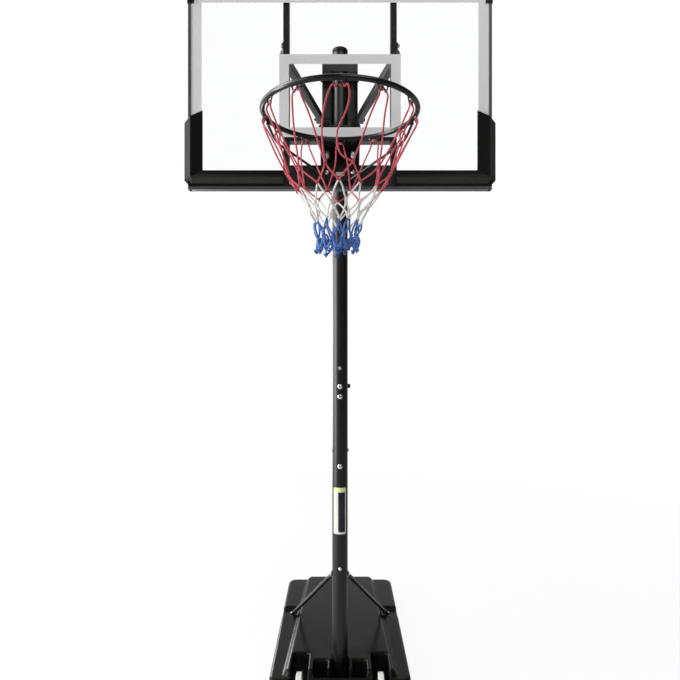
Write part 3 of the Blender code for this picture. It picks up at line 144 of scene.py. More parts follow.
def noise(tree, where, scale, detail, roughness=0.5):
    """Smooth noise."""
    return add(tree, "TexNoise", {"Vector": where, "Scale": scale, "Detail": detail,
                                  "Roughness": roughness}).outputs[0]


def masked(tree, first, second, amount):
    """Two masks and an amount, multiplied and held between 0 and 1."""
    return maths(tree, "MULTIPLY", maths(tree, "MULTIPLY", first, second), amount, clamp=True)


def start_effect(name, takes):
    """A node group that takes named numbers, with them and the place on the surface."""
    effect = bpy.data.node_groups.new(name, "ShaderNodeTree")
    for label, usual in takes.items():
        socket = effect.interface.new_socket(label, in_out="INPUT",
                                             socket_type="NodeSocketFloat")
        socket.default_value = usual
    taken = effect.nodes.new("NodeGroupInput").outputs
    return effect, taken, add(effect, "TexCoord").outputs["Object"]


def end_effect(effect, **results):
    """Give the results of a node group their names."""
    for label, socket in results.items():
        kind = "Vector" if socket.type == "VECTOR" else "Float"
        effect.interface.new_socket(label, in_out="OUTPUT", socket_type="NodeSocket" + kind)
    out = effect.nodes.new("NodeGroupOutput")
    for label, socket in results.items():
        effect.links.new(socket, out.inputs[label])
    print("effect:", effect.name)
    return effect


def apply_effect(tree, effect, inputs=()):
    """Place a node group in a material and hand back its results."""
    return add(tree, "Group", inputs, node_tree=effect).outputs


# %% [markdown]
# ## Effects that several finishes share
# Paint thins and polishes on an edge, dust settles on what faces up, and no coat is quite
# even. Each of these is one node group, placed in every material that needs it with its
# own numbers, so that the whole stand ages in the same way.

# %% Worn and rounded edges
tree, taken, where = start_effect(
    "edge_wear", {"Radius": 0.0012, "Patches": 70.0, "Amount": 0.5})
rounded = add(tree, "Bevel", {"Radius": taken["Radius"]}, samples=4).outputs[0]
flat = add(tree, "NewGeometry").outputs["Normal"]
facing = add(tree, "VectorMath", {0: rounded, 1: flat},
             operation="DOT_PRODUCT").outputs["Value"]
patches = noise(tree, where, taken["Patches"], 3.0)
worn = masked(tree, spread(tree, facing, 0.985, 0.80), spread(tree, patches, 0.38, 0.66),
              taken["Amount"])
edge_wear = end_effect(tree, Mask=worn, Rounded=rounded)

# %% Grain of a coat
tree, taken, where = start_effect(
    "coat_grain", {"Grains per metre": 700.0, "Clouds per metre": 7.0})
coat_grain = end_effect(tree, Height=noise(tree, where, taken["Grains per metre"], 2.0, 0.45),
                        Clouds=noise(tree, where, taken["Clouds per metre"], 4.0, 0.6))

# %% Settled dust
tree, taken, where = start_effect("settled_dust", {"Amount": 0.3, "Drifts per metre": 9.0})
upward = split(tree, add(tree, "NewGeometry").outputs["Normal"])[2]
drifts = noise(tree, where, taken["Drifts per metre"], 6.0, 0.7)
dust = masked(tree, spread(tree, upward, 0.35, 1.0), spread(tree, drifts, 0.42, 0.75),
              taken["Amount"])
settled_dust = end_effect(tree, Mask=dust)

# %% Fine scratches
tree, taken, where = start_effect(
    "fine_scratches", {"Across per metre": 260.0, "Along per metre": 9.0, "Amount": 0.5})
across = taken["Across per metre"]
stretch = add(tree, "CombineXYZ",
              {0: across, 1: across, 2: taken["Along per metre"]}).outputs[0]
tilted = add(tree, "VectorRotate", {"Vector": where, "Angle": 0.35},
             rotation_type="Y_AXIS").outputs[0]
lines = add(tree, "VectorMath", {0: tilted, 1: stretch}, operation="MULTIPLY").outputs[0]
scratch = masked(tree, spread(tree, noise(tree, lines, 1.0, 2.0), 0.66, 0.72),
                 spread(tree, noise(tree, where, 5.0, 3.0), 0.48, 0.62), taken["Amount"])
fine_scratches = end_effect(tree, Mask=scratch)

# %% Braid of a cord
tree, taken, where = start_effect("braided_cord", {"Plaits per metre": 260.0, "Strands": 4.0})
run = split(tree, add(tree, "TexCoord").outputs["UV"])
lengthwise = maths(tree, "MULTIPLY", run[0], taken["Plaits per metre"])
crosswise = maths(tree, "MULTIPLY", run[1], taken["Strands"])
crossing = []
for operation in ("ADD", "SUBTRACT"):
    turn = maths(tree, "MULTIPLY", maths(tree, operation, lengthwise, crosswise), math.pi)
    crossing.append(maths(tree, "ABSOLUTE", maths(tree, "SINE", turn)))
braided_cord = end_effect(tree, Height=maths(tree, "MAXIMUM", *crossing),
                          Fuzz=noise(tree, where, 900.0, 3.0))

# %% [markdown]
# ## The finishes
# Each finish starts from one Principled shader. Its plain numbers, such as how shiny the
# coat is at a glance, are typed on the shader. What changes over the surface comes from
# the effects: a little more or less gloss, a lighter tone, the grain as a bump.


# %% Helpers for finishes
def shade(colour, factor=1.0):
    """A colour with its alpha, made lighter or darker."""
    return (*(min(1.0, part * factor) for part in colour), 1.0)


def start_finish(name, **plain):
    """A material's tree, its shader and the numbers that stay the same all over."""
    material = bpy.data.materials.new(name)
    material.use_nodes = True
    shader = material.node_tree.nodes["Principled BSDF"]
    for socket, value in plain.items():
        shader.inputs[socket.replace("_", " ")].default_value = value
    return material, material.node_tree, shader


def mottled(tree, clouds, low, high):
    """A colour that drifts between two others."""
    return between(tree, spread(tree, clouds, 0.3, 0.7), low, high)


def layered(tree, tone, *layers):
    """Colours laid over a tone, each where its mask is bright."""
    for mask, colour in layers:
        tone = between(tree, mask, tone, colour)
    return tone


def roughened(tree, gloss, *layers):
    """A roughness that grows where the masks are bright."""
    for mask, amount in layers:
        gloss = maths(tree, "ADD", gloss, maths(tree, "MULTIPLY", mask, amount), clamp=True)
    return gloss


def end_finish(made, tone, gloss, height, depth, **normal):
    """Feed colour, roughness and a bump of some depth to the shader."""
    material, tree, shader = made
    bump = add(tree, "Bump", {"Height": height, "Distance": depth, "Strength": 1.0, **normal})
    for socket, value in (("Base Color", tone), ("Roughness", gloss),
                          ("Normal", bump.outputs[0])):
        tree.links.new(value, shader.inputs[socket])
    return material


# %% A finish with grain, wear and dust
COAT_DUST, PLASTIC_DUST = shade((0.30, 0.285, 0.26)), shade((0.26, 0.25, 0.23))


def coated_metal(name, colour, roughness, worn, dust=0.05, wear=0.5, radius=0.0012,
                 grain=700.0, depth=0.00003, shine=0.22, scratches=0.5, metallic=0.0):
    """Powder coat or plating on metal, worn lighter on its edges and dusty on top."""
    made = start_finish(name, Metallic=metallic, Specular_IOR_Level=shine)
    tree = made[1]
    edges = apply_effect(tree, edge_wear, {"Radius": radius, "Amount": wear})
    coat = apply_effect(tree, coat_grain, {"Grains per metre": grain})
    dusty = apply_effect(tree, settled_dust, {"Amount": dust})["Mask"]
    scuffed = apply_effect(tree, fine_scratches, {"Amount": scratches})["Mask"]
    tone = mottled(tree, coat["Clouds"], shade(colour, 0.86), shade(colour, 1.16))
    tone = layered(tree, tone, (scuffed, shade(worn)), (edges["Mask"], shade(worn, 1.3)),
                   (dusty, COAT_DUST))
    gloss = spread(tree, coat["Clouds"], 0.3, 0.7, roughness - 0.05, roughness + 0.06)
    return end_finish(made, tone, roughened(tree, gloss, (dusty, 0.35), (scuffed, 0.12)),
                      coat["Height"], depth, Normal=edges["Rounded"])


black_coat = coated_metal("black_powder_coat", (0.0042, 0.0043, 0.0040), 0.37,
                          (0.020, 0.020, 0.021), wear=0.25, radius=0.0008, shine=0.34,
                          scratches=0.10)
grey_coat = coated_metal("dark_grey_coat", (0.055, 0.057, 0.060), 0.40, (0.12, 0.12, 0.12),
                         wear=0.4, shine=0.2)
ring_coat = coated_metal("ring_coat", (0.0045, 0.0045, 0.0045), 0.20, (0.02, 0.02, 0.02),
                         wear=0.2, radius=0.0005, dust=0.03, shine=0.30, scratches=0.2)
zinc = coated_metal("zinc_plate", (0.70, 0.70, 0.68), 0.27, (0.55, 0.55, 0.53), wear=0.3,
                    radius=0.0005, grain=1500.0, depth=0.00001, metallic=1.0,
                    scratches=0.35, shine=0.5)
print("metal finishes:", black_coat.name, grey_coat.name, ring_coat.name, zinc.name)

# %% Moulded plastics and rubber
# A face that leans away from the front or back between these two values gets painted light: it is
# painted paler, as if lit.
SLOPE_STARTS, SLOPE_FULL = 0.925, 0.895  # how squarely a face looks to the front or back


def moulded(name, colour, roughness, shine=0.4, depth=0.00012, grain=520.0, dust=0.25,
            wear=0.3, radius=0.002, pale=1.6, lit_slope_colour=None):
    """Plastic or rubber with a fine moulded texture, scuffed pale on edges, with painted light on
    sloping faces when a lit slope colour is given.
    """
    made = start_finish(name, Specular_IOR_Level=shine)
    tree = made[1]
    edges = apply_effect(tree, edge_wear, {"Radius": radius, "Amount": wear, "Patches": 30.0})
    skin = apply_effect(tree, coat_grain, {"Grains per metre": grain, "Clouds per metre": 4.0})
    dusty = apply_effect(tree, settled_dust, {"Amount": dust})["Mask"]
    scuffed = apply_effect(tree, fine_scratches, {"Amount": 0.5,
                                                  "Across per metre": 160.0})["Mask"]
    layers = [(maths(tree, "MAXIMUM", edges["Mask"], scuffed), shade(colour, pale))]
    # Painted light: faces that lean away from front and back are painted in the lighter colour, in
    # patches.
    if lit_slope_colour:
        facing = split(tree, add(tree, "TexCoord").outputs["Normal"])[1]
        leaning = spread(tree, maths(tree, "ABSOLUTE", facing), SLOPE_STARTS, SLOPE_FULL)
        patchy = spread(tree, skin["Clouds"], 0.2, 0.8, 0.75, 1.0)
        layers.append((maths(tree, "MULTIPLY", leaning, patchy), shade(lit_slope_colour)))
    tone = mottled(tree, skin["Clouds"], shade(colour, 0.85), shade(colour, 1.18))
    tone = layered(tree, tone, *layers, (dusty, PLASTIC_DUST))
    gloss = spread(tree, skin["Height"], 0.35, 0.65, roughness - 0.05, roughness + 0.07)
    return end_finish(made, tone, roughened(tree, gloss, (dusty, 0.4)), skin["Height"], depth,
                      Normal=edges["Rounded"])


tank_plastic = moulded("tank_plastic", (0.0070, 0.0070, 0.0064), 0.22, shine=0.055, dust=0.02,
                       depth=0.00004)
cap_plastic = moulded("black_cap_plastic", (0.0065, 0.0065, 0.0065), 0.40, shine=0.10,
                      dust=0.05)
wheel_plastic = moulded("pale_wheel_plastic", (0.70, 0.70, 0.68), 0.45, pale=0.8, dust=0.3)
# The pads' outer slope and sides are painted paler as painted light.
pad_rubber = moulded("pad_rubber", (0.0045, 0.0045, 0.0043), 0.48, shine=0.05, grain=420.0,
                     depth=0.00010, dust=0.05, lit_slope_colour=(0.034, 0.034, 0.032))
grip_rubber = moulded("grip_rubber", (0.010, 0.010, 0.010), 0.75, shine=0.1, dust=0.15)
print("moulded finishes:", tank_plastic.name, cap_plastic.name, pad_rubber.name)

# %% [markdown]
# ## Clear sheet and water
# The board is a clear plastic sheet, so it is glass to Blender: full transmission with a
# faint haze where it has been wiped. Water only fills the closed tank, out of sight.


# %% Clear sheet and water
def see_through(name, colour, index, haze, wiped):
    """Glass-like plastic or water, with a little haze that varies."""
    made = start_finish(name, IOR=index, Transmission_Weight=1.0)
    tree = made[1]
    skin = apply_effect(tree, coat_grain, {"Grains per metre": 60.0, "Clouds per metre": 3.0})
    scuffed = apply_effect(tree, fine_scratches, {"Amount": wiped})["Mask"]
    tone = mottled(tree, skin["Clouds"], shade(colour), shade(colour, 0.985))
    gloss = spread(tree, skin["Clouds"], 0.3, 0.7, 0.0, haze)
    return end_finish(made, tone, roughened(tree, gloss, (scuffed, 0.08)), skin["Height"],
                      0.000002)


clear_sheet = see_through("clear_sheet", (0.985, 0.99, 0.99), 1.04, 0.004, 0.05)
water = see_through("water", (0.80, 0.92, 0.95), 1.33, 0.01, 0.0)
print("clear finishes:", clear_sheet.name, water.name)

# %% [markdown]
# ## Cords of the net
# The net is tied from braided nylon cord in red, white and blue. One function makes all
# three: the braid is a bump along the cord with painted shade in its grooves, and the fuzz
# breaks up its colour and gloss.


# %% Cord finishes
def cord_finish(name, colour, pale, shadow):
    """Braided nylon in one colour, with duller stretches where it was handled and painted shade in
    the grooves of the braid.
    """
    made = start_finish(name, Specular_IOR_Level=0.3, Sheen_Weight=0.15)
    tree = made[1]
    braid = apply_effect(tree, braided_cord)
    drift = apply_effect(tree, coat_grain, {"Clouds per metre": 55.0})["Clouds"]
    tone = mottled(tree, braid["Fuzz"], shade(colour, 0.85), shade(pale))
    # Painted shade: the low grooves of the braid are painted darker.
    tone = between(tree, spread(tree, braid["Height"], 0.2, 0.9), shade(colour, 0.55), tone)
    tone = between(tree, spread(tree, drift, 0.40, 0.62, 0.0, 0.5), tone,
                   shade(colour, shadow))
    return end_finish(made, tone, spread(tree, braid["Fuzz"], 0.3, 0.7, 0.55, 0.8),
                      braid["Height"], 0.0005)


red_cord = cord_finish("red_cord", (0.52, 0.030, 0.062), (0.72, 0.14, 0.18), 0.55)
white_cord = cord_finish("white_cord", (0.80, 0.77, 0.73), (0.90, 0.88, 0.85), 0.75)
blue_cord = cord_finish("blue_cord", (0.030, 0.105, 0.46), (0.14, 0.32, 0.74), 0.22)
print("cord finishes:", red_cord.name, white_cord.name, blue_cord.name)

# %% [markdown]
# ## Dressing the solids that stay
# Tubes, plates and rails already have their true shape, so they keep it and only get a
# finish. A table says which finish each one wears.

# %% Finishes for the solids
FINISHES = (
    (black_coat, "pole_lower pole_middle pole_upper mast_channel upper_arm_left "
                 "upper_arm_right lower_arm_left lower_arm_right height_guide adjuster_rod "
                 "upright_left upright_right crossbar ring_backing_plate strut_left "
                 "strut_right ring_bracket ring_brace"),
    (ring_coat, "rim"),
    (grey_coat, "frame_rail_left frame_rail_right frame_rail_top frame_rail_bottom"),
    (tank_plastic, "base_tank"),
    (cap_plastic, "filler_cap pole_cap height_lock_knob corner_cap_left corner_cap_right"),
    (pad_rubber, "corner_pad_left corner_pad_right"),
    (grip_rubber, "rod_grip"),
    (wheel_plastic, "wheel_left wheel_right"),
    (clear_sheet, "backboard_panel"),
    (water, "water_ballast"),
    (red_cord, "net_upper"),
    (white_cord, "net_lower"),
)
clothes = {name: finish for finish, names in FINISHES for name in names.split()}
for name, node in frame["nodes"].items():
    node.data.materials.clear()
    node.data.materials.append(clothes.get(name, zinc))
frame["nodes"]["backboard_panel"].visible_shadow = False
print("dressed:", len(clothes), "by name, the rest in zinc:",
      len(frame["nodes"]) - len(clothes))

# %% [markdown]
# ## Helpers for shapes
# Most of the pieces still to be made are round wire or cord bent along a path, or round
# parts turned on a lathe. Blender has curve bevels and a Screw modifier for these; a short
# function that lays down the rings of points itself gives the same form, and also a map
# of how far along the cord each face lies, which the braid needs.


# %% A shape that grows
def start_shape():
    """Points, faces and map places that are collected before they become a mesh."""
    return {"points": [], "faces": [], "map": []}


def bridge_rings(shape, rings, closed=False, lengths=None):
    """Join rings of points into a skin; open skins get flat ends."""
    first = len(shape["points"])
    sides = len(rings[0])
    for ring in rings:
        shape["points"].extend(ring)
    count = len(rings)
    lengths = lengths or [float(i) for i in range(count + 1)]
    for i in range(count if closed else count - 1):
        here, there = first + i * sides, first + ((i + 1) % count) * sides
        for k in range(sides):
            after = (k + 1) % sides
            shape["faces"].append((here + k, here + after, there + after, there + k))
            low, high = k / sides, (k + 1) / sides
            shape["map"].append(((lengths[i], low), (lengths[i], high),
                                 (lengths[i + 1], high), (lengths[i + 1], low)))
    if not closed:
        for start, turn in ((first, -1), (first + (count - 1) * sides, 1)):
            shape["faces"].append(tuple(range(start, start + sides))[::turn])
            shape["map"].append(((0.0, 0.0),) * sides)


def cord_path(corners, steps):
    """A smooth path through all the corners."""
    last = len(corners) - 1
    path = []
    for i in range(last):
        a, b, c, d = (corners[max(0, min(last, i + k))] for k in (-1, 0, 1, 2))
        for t in (step / steps for step in range(steps)):
            path.append(0.5 * (2 * b + (c - a) * t + (2 * a - 5 * b + 4 * c - d) * t ** 2
                               + (3 * b - a - 3 * c + d) * t ** 3))
    return path + [corners[-1]]


def around(sides):
    """The angles of equal steps round a full turn."""
    return [2 * math.pi * k / sides for k in range(sides)]


def headings(path, closed=False):
    """The direction of a path at each of its points."""
    last = len(path) - 1
    return [(path[(i + 1) % (last + 1) if closed or i < last else i]
             - path[i - 1 if closed or i else i]).normalized() for i in range(last + 1)]


def add_cord(shape, path, radius, sides=8, closed=False):
    """Sweep a circle along a path; the radius is one number, or one for each point."""
    count = len(path)
    radii = radius if isinstance(radius, (list, tuple)) else [radius] * count
    lengths = [0.0]
    for i in range(count if closed else count - 1):
        lengths.append(lengths[-1] + (path[(i + 1) % count] - path[i]).length)
    heads = headings(path, closed)
    side = heads[0].orthogonal().normalized()
    rings = []
    for i, head in enumerate(heads):
        side = (side - head * side.dot(head)).normalized()
        up = head.cross(side)
        rings.append([path[i] + (side * math.cos(turn) + up * math.sin(turn)) * radii[i]
                      for turn in around(sides)])
    if closed:  # the circles have turned a little on the way, so each is turned back
        start = heads[0].orthogonal().normalized()
        flat = (side - heads[0] * side.dot(heads[0])).normalized()
        slip = math.atan2(heads[0].cross(flat).dot(start), flat.dot(start))
        for i, ring in enumerate(rings):
            turn = Matrix.Rotation(slip * i / count, 3, heads[i])
            rings[i] = [path[i] + turn @ (point - path[i]) for point in ring]
    bridge_rings(shape, rings, closed, lengths + [lengths[-1]])


SUPPORT_GAP = 0.0012
AXES = {"Z": Matrix.Identity(3), "-Z": Matrix.Rotation(math.pi, 3, "X"),
        "X": Matrix.Rotation(math.pi / 2, 3, "Y"), "-X": Matrix.Rotation(-math.pi / 2, 3, "Y"),
        "Y": Matrix.Rotation(math.pi / 2, 3, "X")}  # this one runs towards -Y


def supported(profile, closed):
    """A profile with a point near each end of its long stretches, to keep their shading even."""
    denser = []
    count = len(profile)
    for i, start in enumerate(profile):
        denser.append(start)
        if i + 1 == count and not closed:
            break
        a, b = Vector(start), Vector(profile[(i + 1) % count])
        if (b - a).length > 8 * SUPPORT_GAP:
            step = (b - a).normalized() * SUPPORT_GAP
            denser += [tuple(a + step), tuple(b - step)]
    return denser


def add_turned(shape, profile, place, axis="Z", sides=32, wave=None, hollow=False, way=1.0):
    """Turn (radius, height) points about an axis; wave changes the radius round the turn.

    A hollow profile is a closed loop, so that the piece keeps a hole through its middle. A
    way of -1 turns the profile over.
    """
    rings = []
    for radius, height in supported(profile, hollow):
        rings.append([])
        for turn in around(sides):
            reach = radius * (wave(turn, height) if wave else 1.0)
            rings[-1].append(Vector(place) + AXES[axis] @ Vector(
                (reach * math.cos(turn), reach * math.sin(turn), way * height)))
    bridge_rings(shape, rings, hollow)


def build_mesh(name, shape, mapped=True):
    """A mesh of the collected points, with all its faces looking out."""
    mesh = bpy.data.meshes.new(name)
    mesh.from_pydata([tuple(point) for point in shape["points"]], [], shape["faces"])
    if mapped:
        mesh.uv_layers.new(name="along").data.foreach_set(
            "uv", [value for face in shape["map"] for corner in face for value in corner])
    work = bmesh.new()
    work.from_mesh(mesh)
    bmesh.ops.recalc_face_normals(work, faces=work.faces)
    work.to_mesh(mesh)
    work.free()
    return mesh


def dress(name, mesh, finish, node=None, body=None, sharp=None):
    """Show a mesh as a smooth piece in the place of a node, or as an extra on a body."""
    mesh.shade_smooth()
    if sharp:
        mesh.set_sharp_from_angle(angle=math.radians(sharp))
    mesh.materials.append(finish)
    piece = show(name, mesh)
    body = body or frame["nodes"][node]["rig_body"]
    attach(piece, body)
    if node:
        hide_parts(node)
    print(f"{name}: {len(mesh.vertices)} points on {body}")


def make_piece(name, shape, finish, node=None, body=None, sharp=40.0):
    """Turn the collected points into a piece; edges above the sharp angle stay crisp."""
    dress(name, build_mesh(name, shape), finish, node, body, sharp)


def skin_piece(name, rings, finish, node=None, body=None, sharp=40.0, closed=False):
    """A piece that is one skin over rings of points."""
    shape = start_shape()
    bridge_rings(shape, rings, closed)
    make_piece(name, shape, finish, node, body, sharp)


def boxed(name):
    """The low and the high corner of a node's box, and its middle."""
    low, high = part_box(name)
    return low, high, (low + high) / 2


# %% [markdown]
# ## The ring and its hooks
# The ring is one bent steel tube. Under it, twelve pieces of wire are welded on, each bent
# into a small W whose two low points hold the net. The tube is a torus with many sides, so
# that its outline stays round up close, and each wire thickens where the weld holds it.

# %% The ring
RING_CENTRE = Vector((0.0, -1.074, 2.388))
RING_RADIUS, TUBE_RADIUS = 0.233, 0.008
HOOKS, HOOK_RADIUS = 12, 0.230
HOOK_WIRE, HOOK_WELD = 0.0023, 0.0012
HOOK_BENDS = ((-0.0165, 0.0055), (-0.0145, 0.0125), (-0.0115, 0.0205), (-0.0095, 0.0235),
              (-0.0072, 0.0222), (-0.0035, 0.0150), (0.0, 0.0125))


def round_ring(turns, radius, depth, across=0.0):
    """A point under the ring: turns are counted in hooks, starting at the front."""
    angle = -math.pi / 2 + 2 * math.pi * turns / HOOKS
    out = Vector((math.cos(angle), math.sin(angle), 0.0))
    tangent = Vector((-out.y, out.x, 0.0))
    return RING_CENTRE + out * radius + tangent * across - Vector((0.0, 0.0, depth))


ring = start_shape()
tube_path = [round_ring(HOOKS * i / 144, RING_RADIUS, 0.0) for i in range(144)]
add_cord(ring, tube_path, TUBE_RADIUS, 24, closed=True)
for hook in range(HOOKS):
    bends = [round_ring(hook, HOOK_RADIUS, depth, across) for across, depth in HOOK_BENDS]
    bends += [round_ring(hook, HOOK_RADIUS, depth, -across)
              for across, depth in HOOK_BENDS[-2::-1]]
    wire = cord_path(bends, 3)
    add_cord(ring, wire, [HOOK_WIRE + HOOK_WELD * max(0.0, 1 - min(i, len(wire) - 1 - i) / 3)
                          for i in range(len(wire))], 8)
make_piece("hoop_ring", ring, ring_coat, "rim")

# %% [markdown]
# The brace is one rod that runs from under the ring down to the foot of the bracket and
# back up on the other side. Its bends are rounded, as a bending machine leaves them.

# %% The bent brace
BRACE_RADIUS = 0.00425
BRACE_HALF = ((0.0, -0.7395, 2.2775), (0.034, -0.7395, 2.2775), (0.045, -0.750, 2.282),
              (0.110, -0.816, 2.309), (0.186, -0.891, 2.3415), (0.199, -0.904, 2.3465),
              (0.214, -0.945, 2.357), (0.2245, -1.000, 2.3735), (0.22506, -1.0137, 2.3755))
half = [Vector(point) for point in BRACE_HALF]
brace = start_shape()
mirrored = [Vector((-point.x, point.y, point.z)) for point in half[:0:-1]]
add_cord(brace, cord_path(mirrored + half, 5), BRACE_RADIUS, 14)
for tip in (mirrored[0], half[-1]):
    add_cord(brace, [tip - Vector((0, 0.012, 0.003)), tip, tip + Vector((0, 0.006, 0.001))],
             [0.0043, 0.0062, 0.0045], 12)
make_piece("bent_brace", brace, ring_coat, "ring_brace")

# %% [markdown]
# ## The net
# The net is knotted by hand from twelve long loops at the ring, so no two meshes are quite
# alike. A cloth simulation could hang it, but a net this open is easier to tie in code:
# knots sit on rows that narrow downwards, each is nudged a little, and the cords between
# them bow gently. The same seed gives the same net on every run.

# %% Rows of knots
NET_ROWS = ((0.0196, 0.2300), (0.1990, 0.1570), (0.2400, 0.1280), (0.2870, 0.0920),
            (0.3320, 0.0690), (0.3780, 0.0610), (0.4200, 0.0600))  # depth and radius
ROW_NUDGE = (0.0, 0.0045, 0.005, 0.005, 0.005, 0.0055, 0.006)
NET_SWAY = 0.010
CORD_RADIUS = 0.0026
LOW_CORD, FOOT_CORD = 1.15 * CORD_RADIUS, 1.1 * CORD_RADIUS
chance = random.Random(12)
knots = {}
for row, ((depth, radius), nudge) in enumerate(zip(NET_ROWS, ROW_NUDGE)):
    for column in range(HOOKS):
        knots[row, column] = round_ring(column + row / 2,
                                        radius + chance.uniform(-nudge, nudge) * 0.6,
                                        depth + chance.uniform(-nudge, nudge) * 0.8,
                                        chance.uniform(-nudge, nudge))
        knots[row, column].x -= NET_SWAY * (depth / NET_ROWS[-1][0]) ** 2
print("knots:", len(knots))


# %% Helpers for tying
def bowed(start, end, bow, steps=7):
    """Points from start to end that bow sideways and wander a little."""
    line = end - start
    side = line.cross(Vector((0, 0, 1))).normalized()
    out = side.cross(line).normalized()
    sway, swell = chance.uniform(-bow, bow), chance.uniform(-bow, bow)
    ripple = chance.uniform(-0.35, 0.35) * bow
    points = []
    for step in range(steps + 1):
        t = step / steps
        points.append(start + line * t + side * (sway * math.sin(math.pi * t)
                                                 + ripple * math.sin(2 * math.pi * t))
                      + out * swell * math.sin(math.pi * t))
    return points


def tie_knot(shape, place, size, cord):
    """A small overhand knot, drawn as a tight trefoil."""
    lean = Matrix.Rotation(chance.uniform(0, math.pi), 3, "Z") @ Matrix.Rotation(
        chance.uniform(0.9, 2.0), 3, "X")
    path = [Vector(place) + lean @ Vector(
        (math.sin(t) + 1.6 * math.sin(2 * t), math.cos(t) - 1.6 * math.cos(2 * t),
         -1.5 * math.sin(3 * t))) * size for t in around(26)]
    add_cord(shape, path, cord, 6, closed=True)


def neighbours(row, column):
    """The two knots below a knot."""
    return knots[row + 1, column % HOOKS], knots[row + 1, (column - 1) % HOOKS]


def in_front(x, height):
    """A point of the net's front, where the loop at the front hook sways."""
    radius = NET_ROWS[1][1] + 0.452 * (height - RING_CENTRE.z + NET_ROWS[1][0])
    return Vector((x, RING_CENTRE.y - math.sqrt(radius ** 2 - x ** 2), height))


def drop(least, most=None):
    """A step down, by chance where it has a range."""
    return Vector((0, 0, least if most is None else chance.uniform(least, most)))


# %% Tying the net
FRONT_LEGS = (((-0.0215, 2.366), (-0.0350, 2.340), (-0.0455, 2.302), (-0.0490, 2.262),
               (-0.0465, 2.222)),
              ((0.0205, 2.368), (0.0255, 2.342), (0.0160, 2.308), (-0.0040, 2.272),
               (-0.0085, 2.246), (-0.0040, 2.220), (0.0100, 2.202)))
LOOP_OVER_HOOK = ((0.2325, 0.036, -0.0140), (0.2310, 0.0240, -0.0115),
                  (0.2295, 0.0175, -0.0070), (0.2265, 0.0150, 0.0), (0.2295, 0.0175, 0.0070),
                  (0.2310, 0.0240, 0.0115), (0.2325, 0.036, 0.0140))
red, white_net, blue = start_shape(), start_shape(), start_shape()
BAND_CORD = (red, red, white_net, white_net, blue, blue)
for hook in range(HOOKS):
    right, left = neighbours(0, hook)
    loop = [round_ring(hook, *place) for place in LOOP_OVER_HOOK]
    rising, falling = bowed(left, loop[0], 0.0065), bowed(loop[-1], right, 0.0065)
    if hook == 0:
        rising = [left] + [in_front(*place) for place in FRONT_LEGS[0][::-1]]
        falling = [in_front(*place) for place in FRONT_LEGS[1]] + [right]
    add_cord(red, cord_path(rising + loop[1:-1] + falling, 3), CORD_RADIUS)
    tie_knot(red, round_ring(hook, 0.2285, 0.0165), 0.0014, 0.0016)
for row in range(1, 6):
    bow, thick = (0.004, CORD_RADIUS) if row < 4 else (0.0085, LOW_CORD)
    for column in range(HOOKS):
        for lower in neighbours(row, column):
            add_cord(BAND_CORD[row], cord_path(bowed(knots[row, column], lower, bow, 5), 3),
                     thick)
        tie_knot(BAND_CORD[row - 1], knots[row, column], 0.0019, 0.0020)
for column in range(HOOKS):
    tie_knot(blue, knots[6, column], 0.0023, 0.0025)
    start, end = knots[5, column], knots[5, (column + 1) % HOOKS]
    curl = [start, start.lerp(end, 0.2) - drop(0.022, 0.034),
            start.lerp(end, 0.6) - drop(0.028, 0.038), start.lerp(end, 0.8) - drop(0.016), end]
    add_cord(blue, cord_path(curl, 5), LOW_CORD)
    inward = (RING_CENTRE - start) * Vector((1, 1, 0))
    tuck = [start, start + inward * 0.25 - drop(0.012, 0.022),
            start.lerp(end, 0.5) + inward * chance.uniform(0.2, 0.5) - drop(0.020, 0.034),
            end + inward * 0.15 - drop(0.0, 0.012), end]
    add_cord(blue, cord_path(tuck, 5), FOOT_CORD)
make_piece("net_red_cords", red, red_cord, "net_upper")
make_piece("net_white_cords", white_net, white_cord, "net_lower")
make_piece("net_blue_cords", blue, blue_cord, "net_lower")

# %% [markdown]
# ## Bolts, nuts and washers
# Most bolts on the stand are zinc plated, and those at the top of the pole are coated
# black. The solids say where each one is and how long it is, so one function reads a
# bolt's box and puts a domed, hexagonal or square head, two washers, a chamfered nut and a
# threaded end in its place.

# %% Heads, nuts and washers
FITTINGS = {  # sides, flats, and (radius, height) in shares of the whole
    "dome": (36, 0, ((1, 0), (1, 0.22), (0.94, 0.5), (0.74, 0.8), (0.42, 0.96), (0, 1))),
    "square": (36, 4, ((1.16, 0), (1.22, 0.12), (1.22, 0.5), (1.14, 0.62), (0.40, 0.62),
                       (0.36, 1), (0.12, 1), (0, 0.72))),
    "hex": (36, 6, ((1.15, 0), (1.18, 0.08), (1.18, 0.78), (1.02, 1), (0.5, 1), (0.44, 0.86),
                    (0, 0.84))),
    "washer": (32, 0, ((0.45, 0), (0.97, 0), (1, 0.3), (1, 0.7), (0.97, 1), (0.45, 1))),
}
HEAD_HEIGHT, NUT_HEIGHT, NUT_RADIUS = 0.0055, 0.0065, 0.0070
WASHER_RADIUS, WASHER_THICK = 0.0088, 0.0012
THREAD_RADIUS, THREAD_LENGTH, PITCH = 0.0038, 0.004, 0.00125
THIN_ROD, PLAIN_ROD, THICK_ROD = 0.0039, 0.0040, 0.0046


def many_sided(flats):
    """A wave that turns a circle into a polygon with that many flats."""
    part = 2 * math.pi / flats
    return lambda turn, _: math.cos(part / 2) / math.cos(turn % part - part / 2)


def add_fitting(shape, kind, place, axis, radius, height, way=1.0):
    """A head, nut or washer that rises from its seat, the other way where way is -1."""
    sides, flats, rows = FITTINGS[kind]
    add_turned(shape, [(max(0.0001, out * radius), up * height) for out, up in rows], place,
               axis, sides, many_sided(flats) if flats else None, way=way)


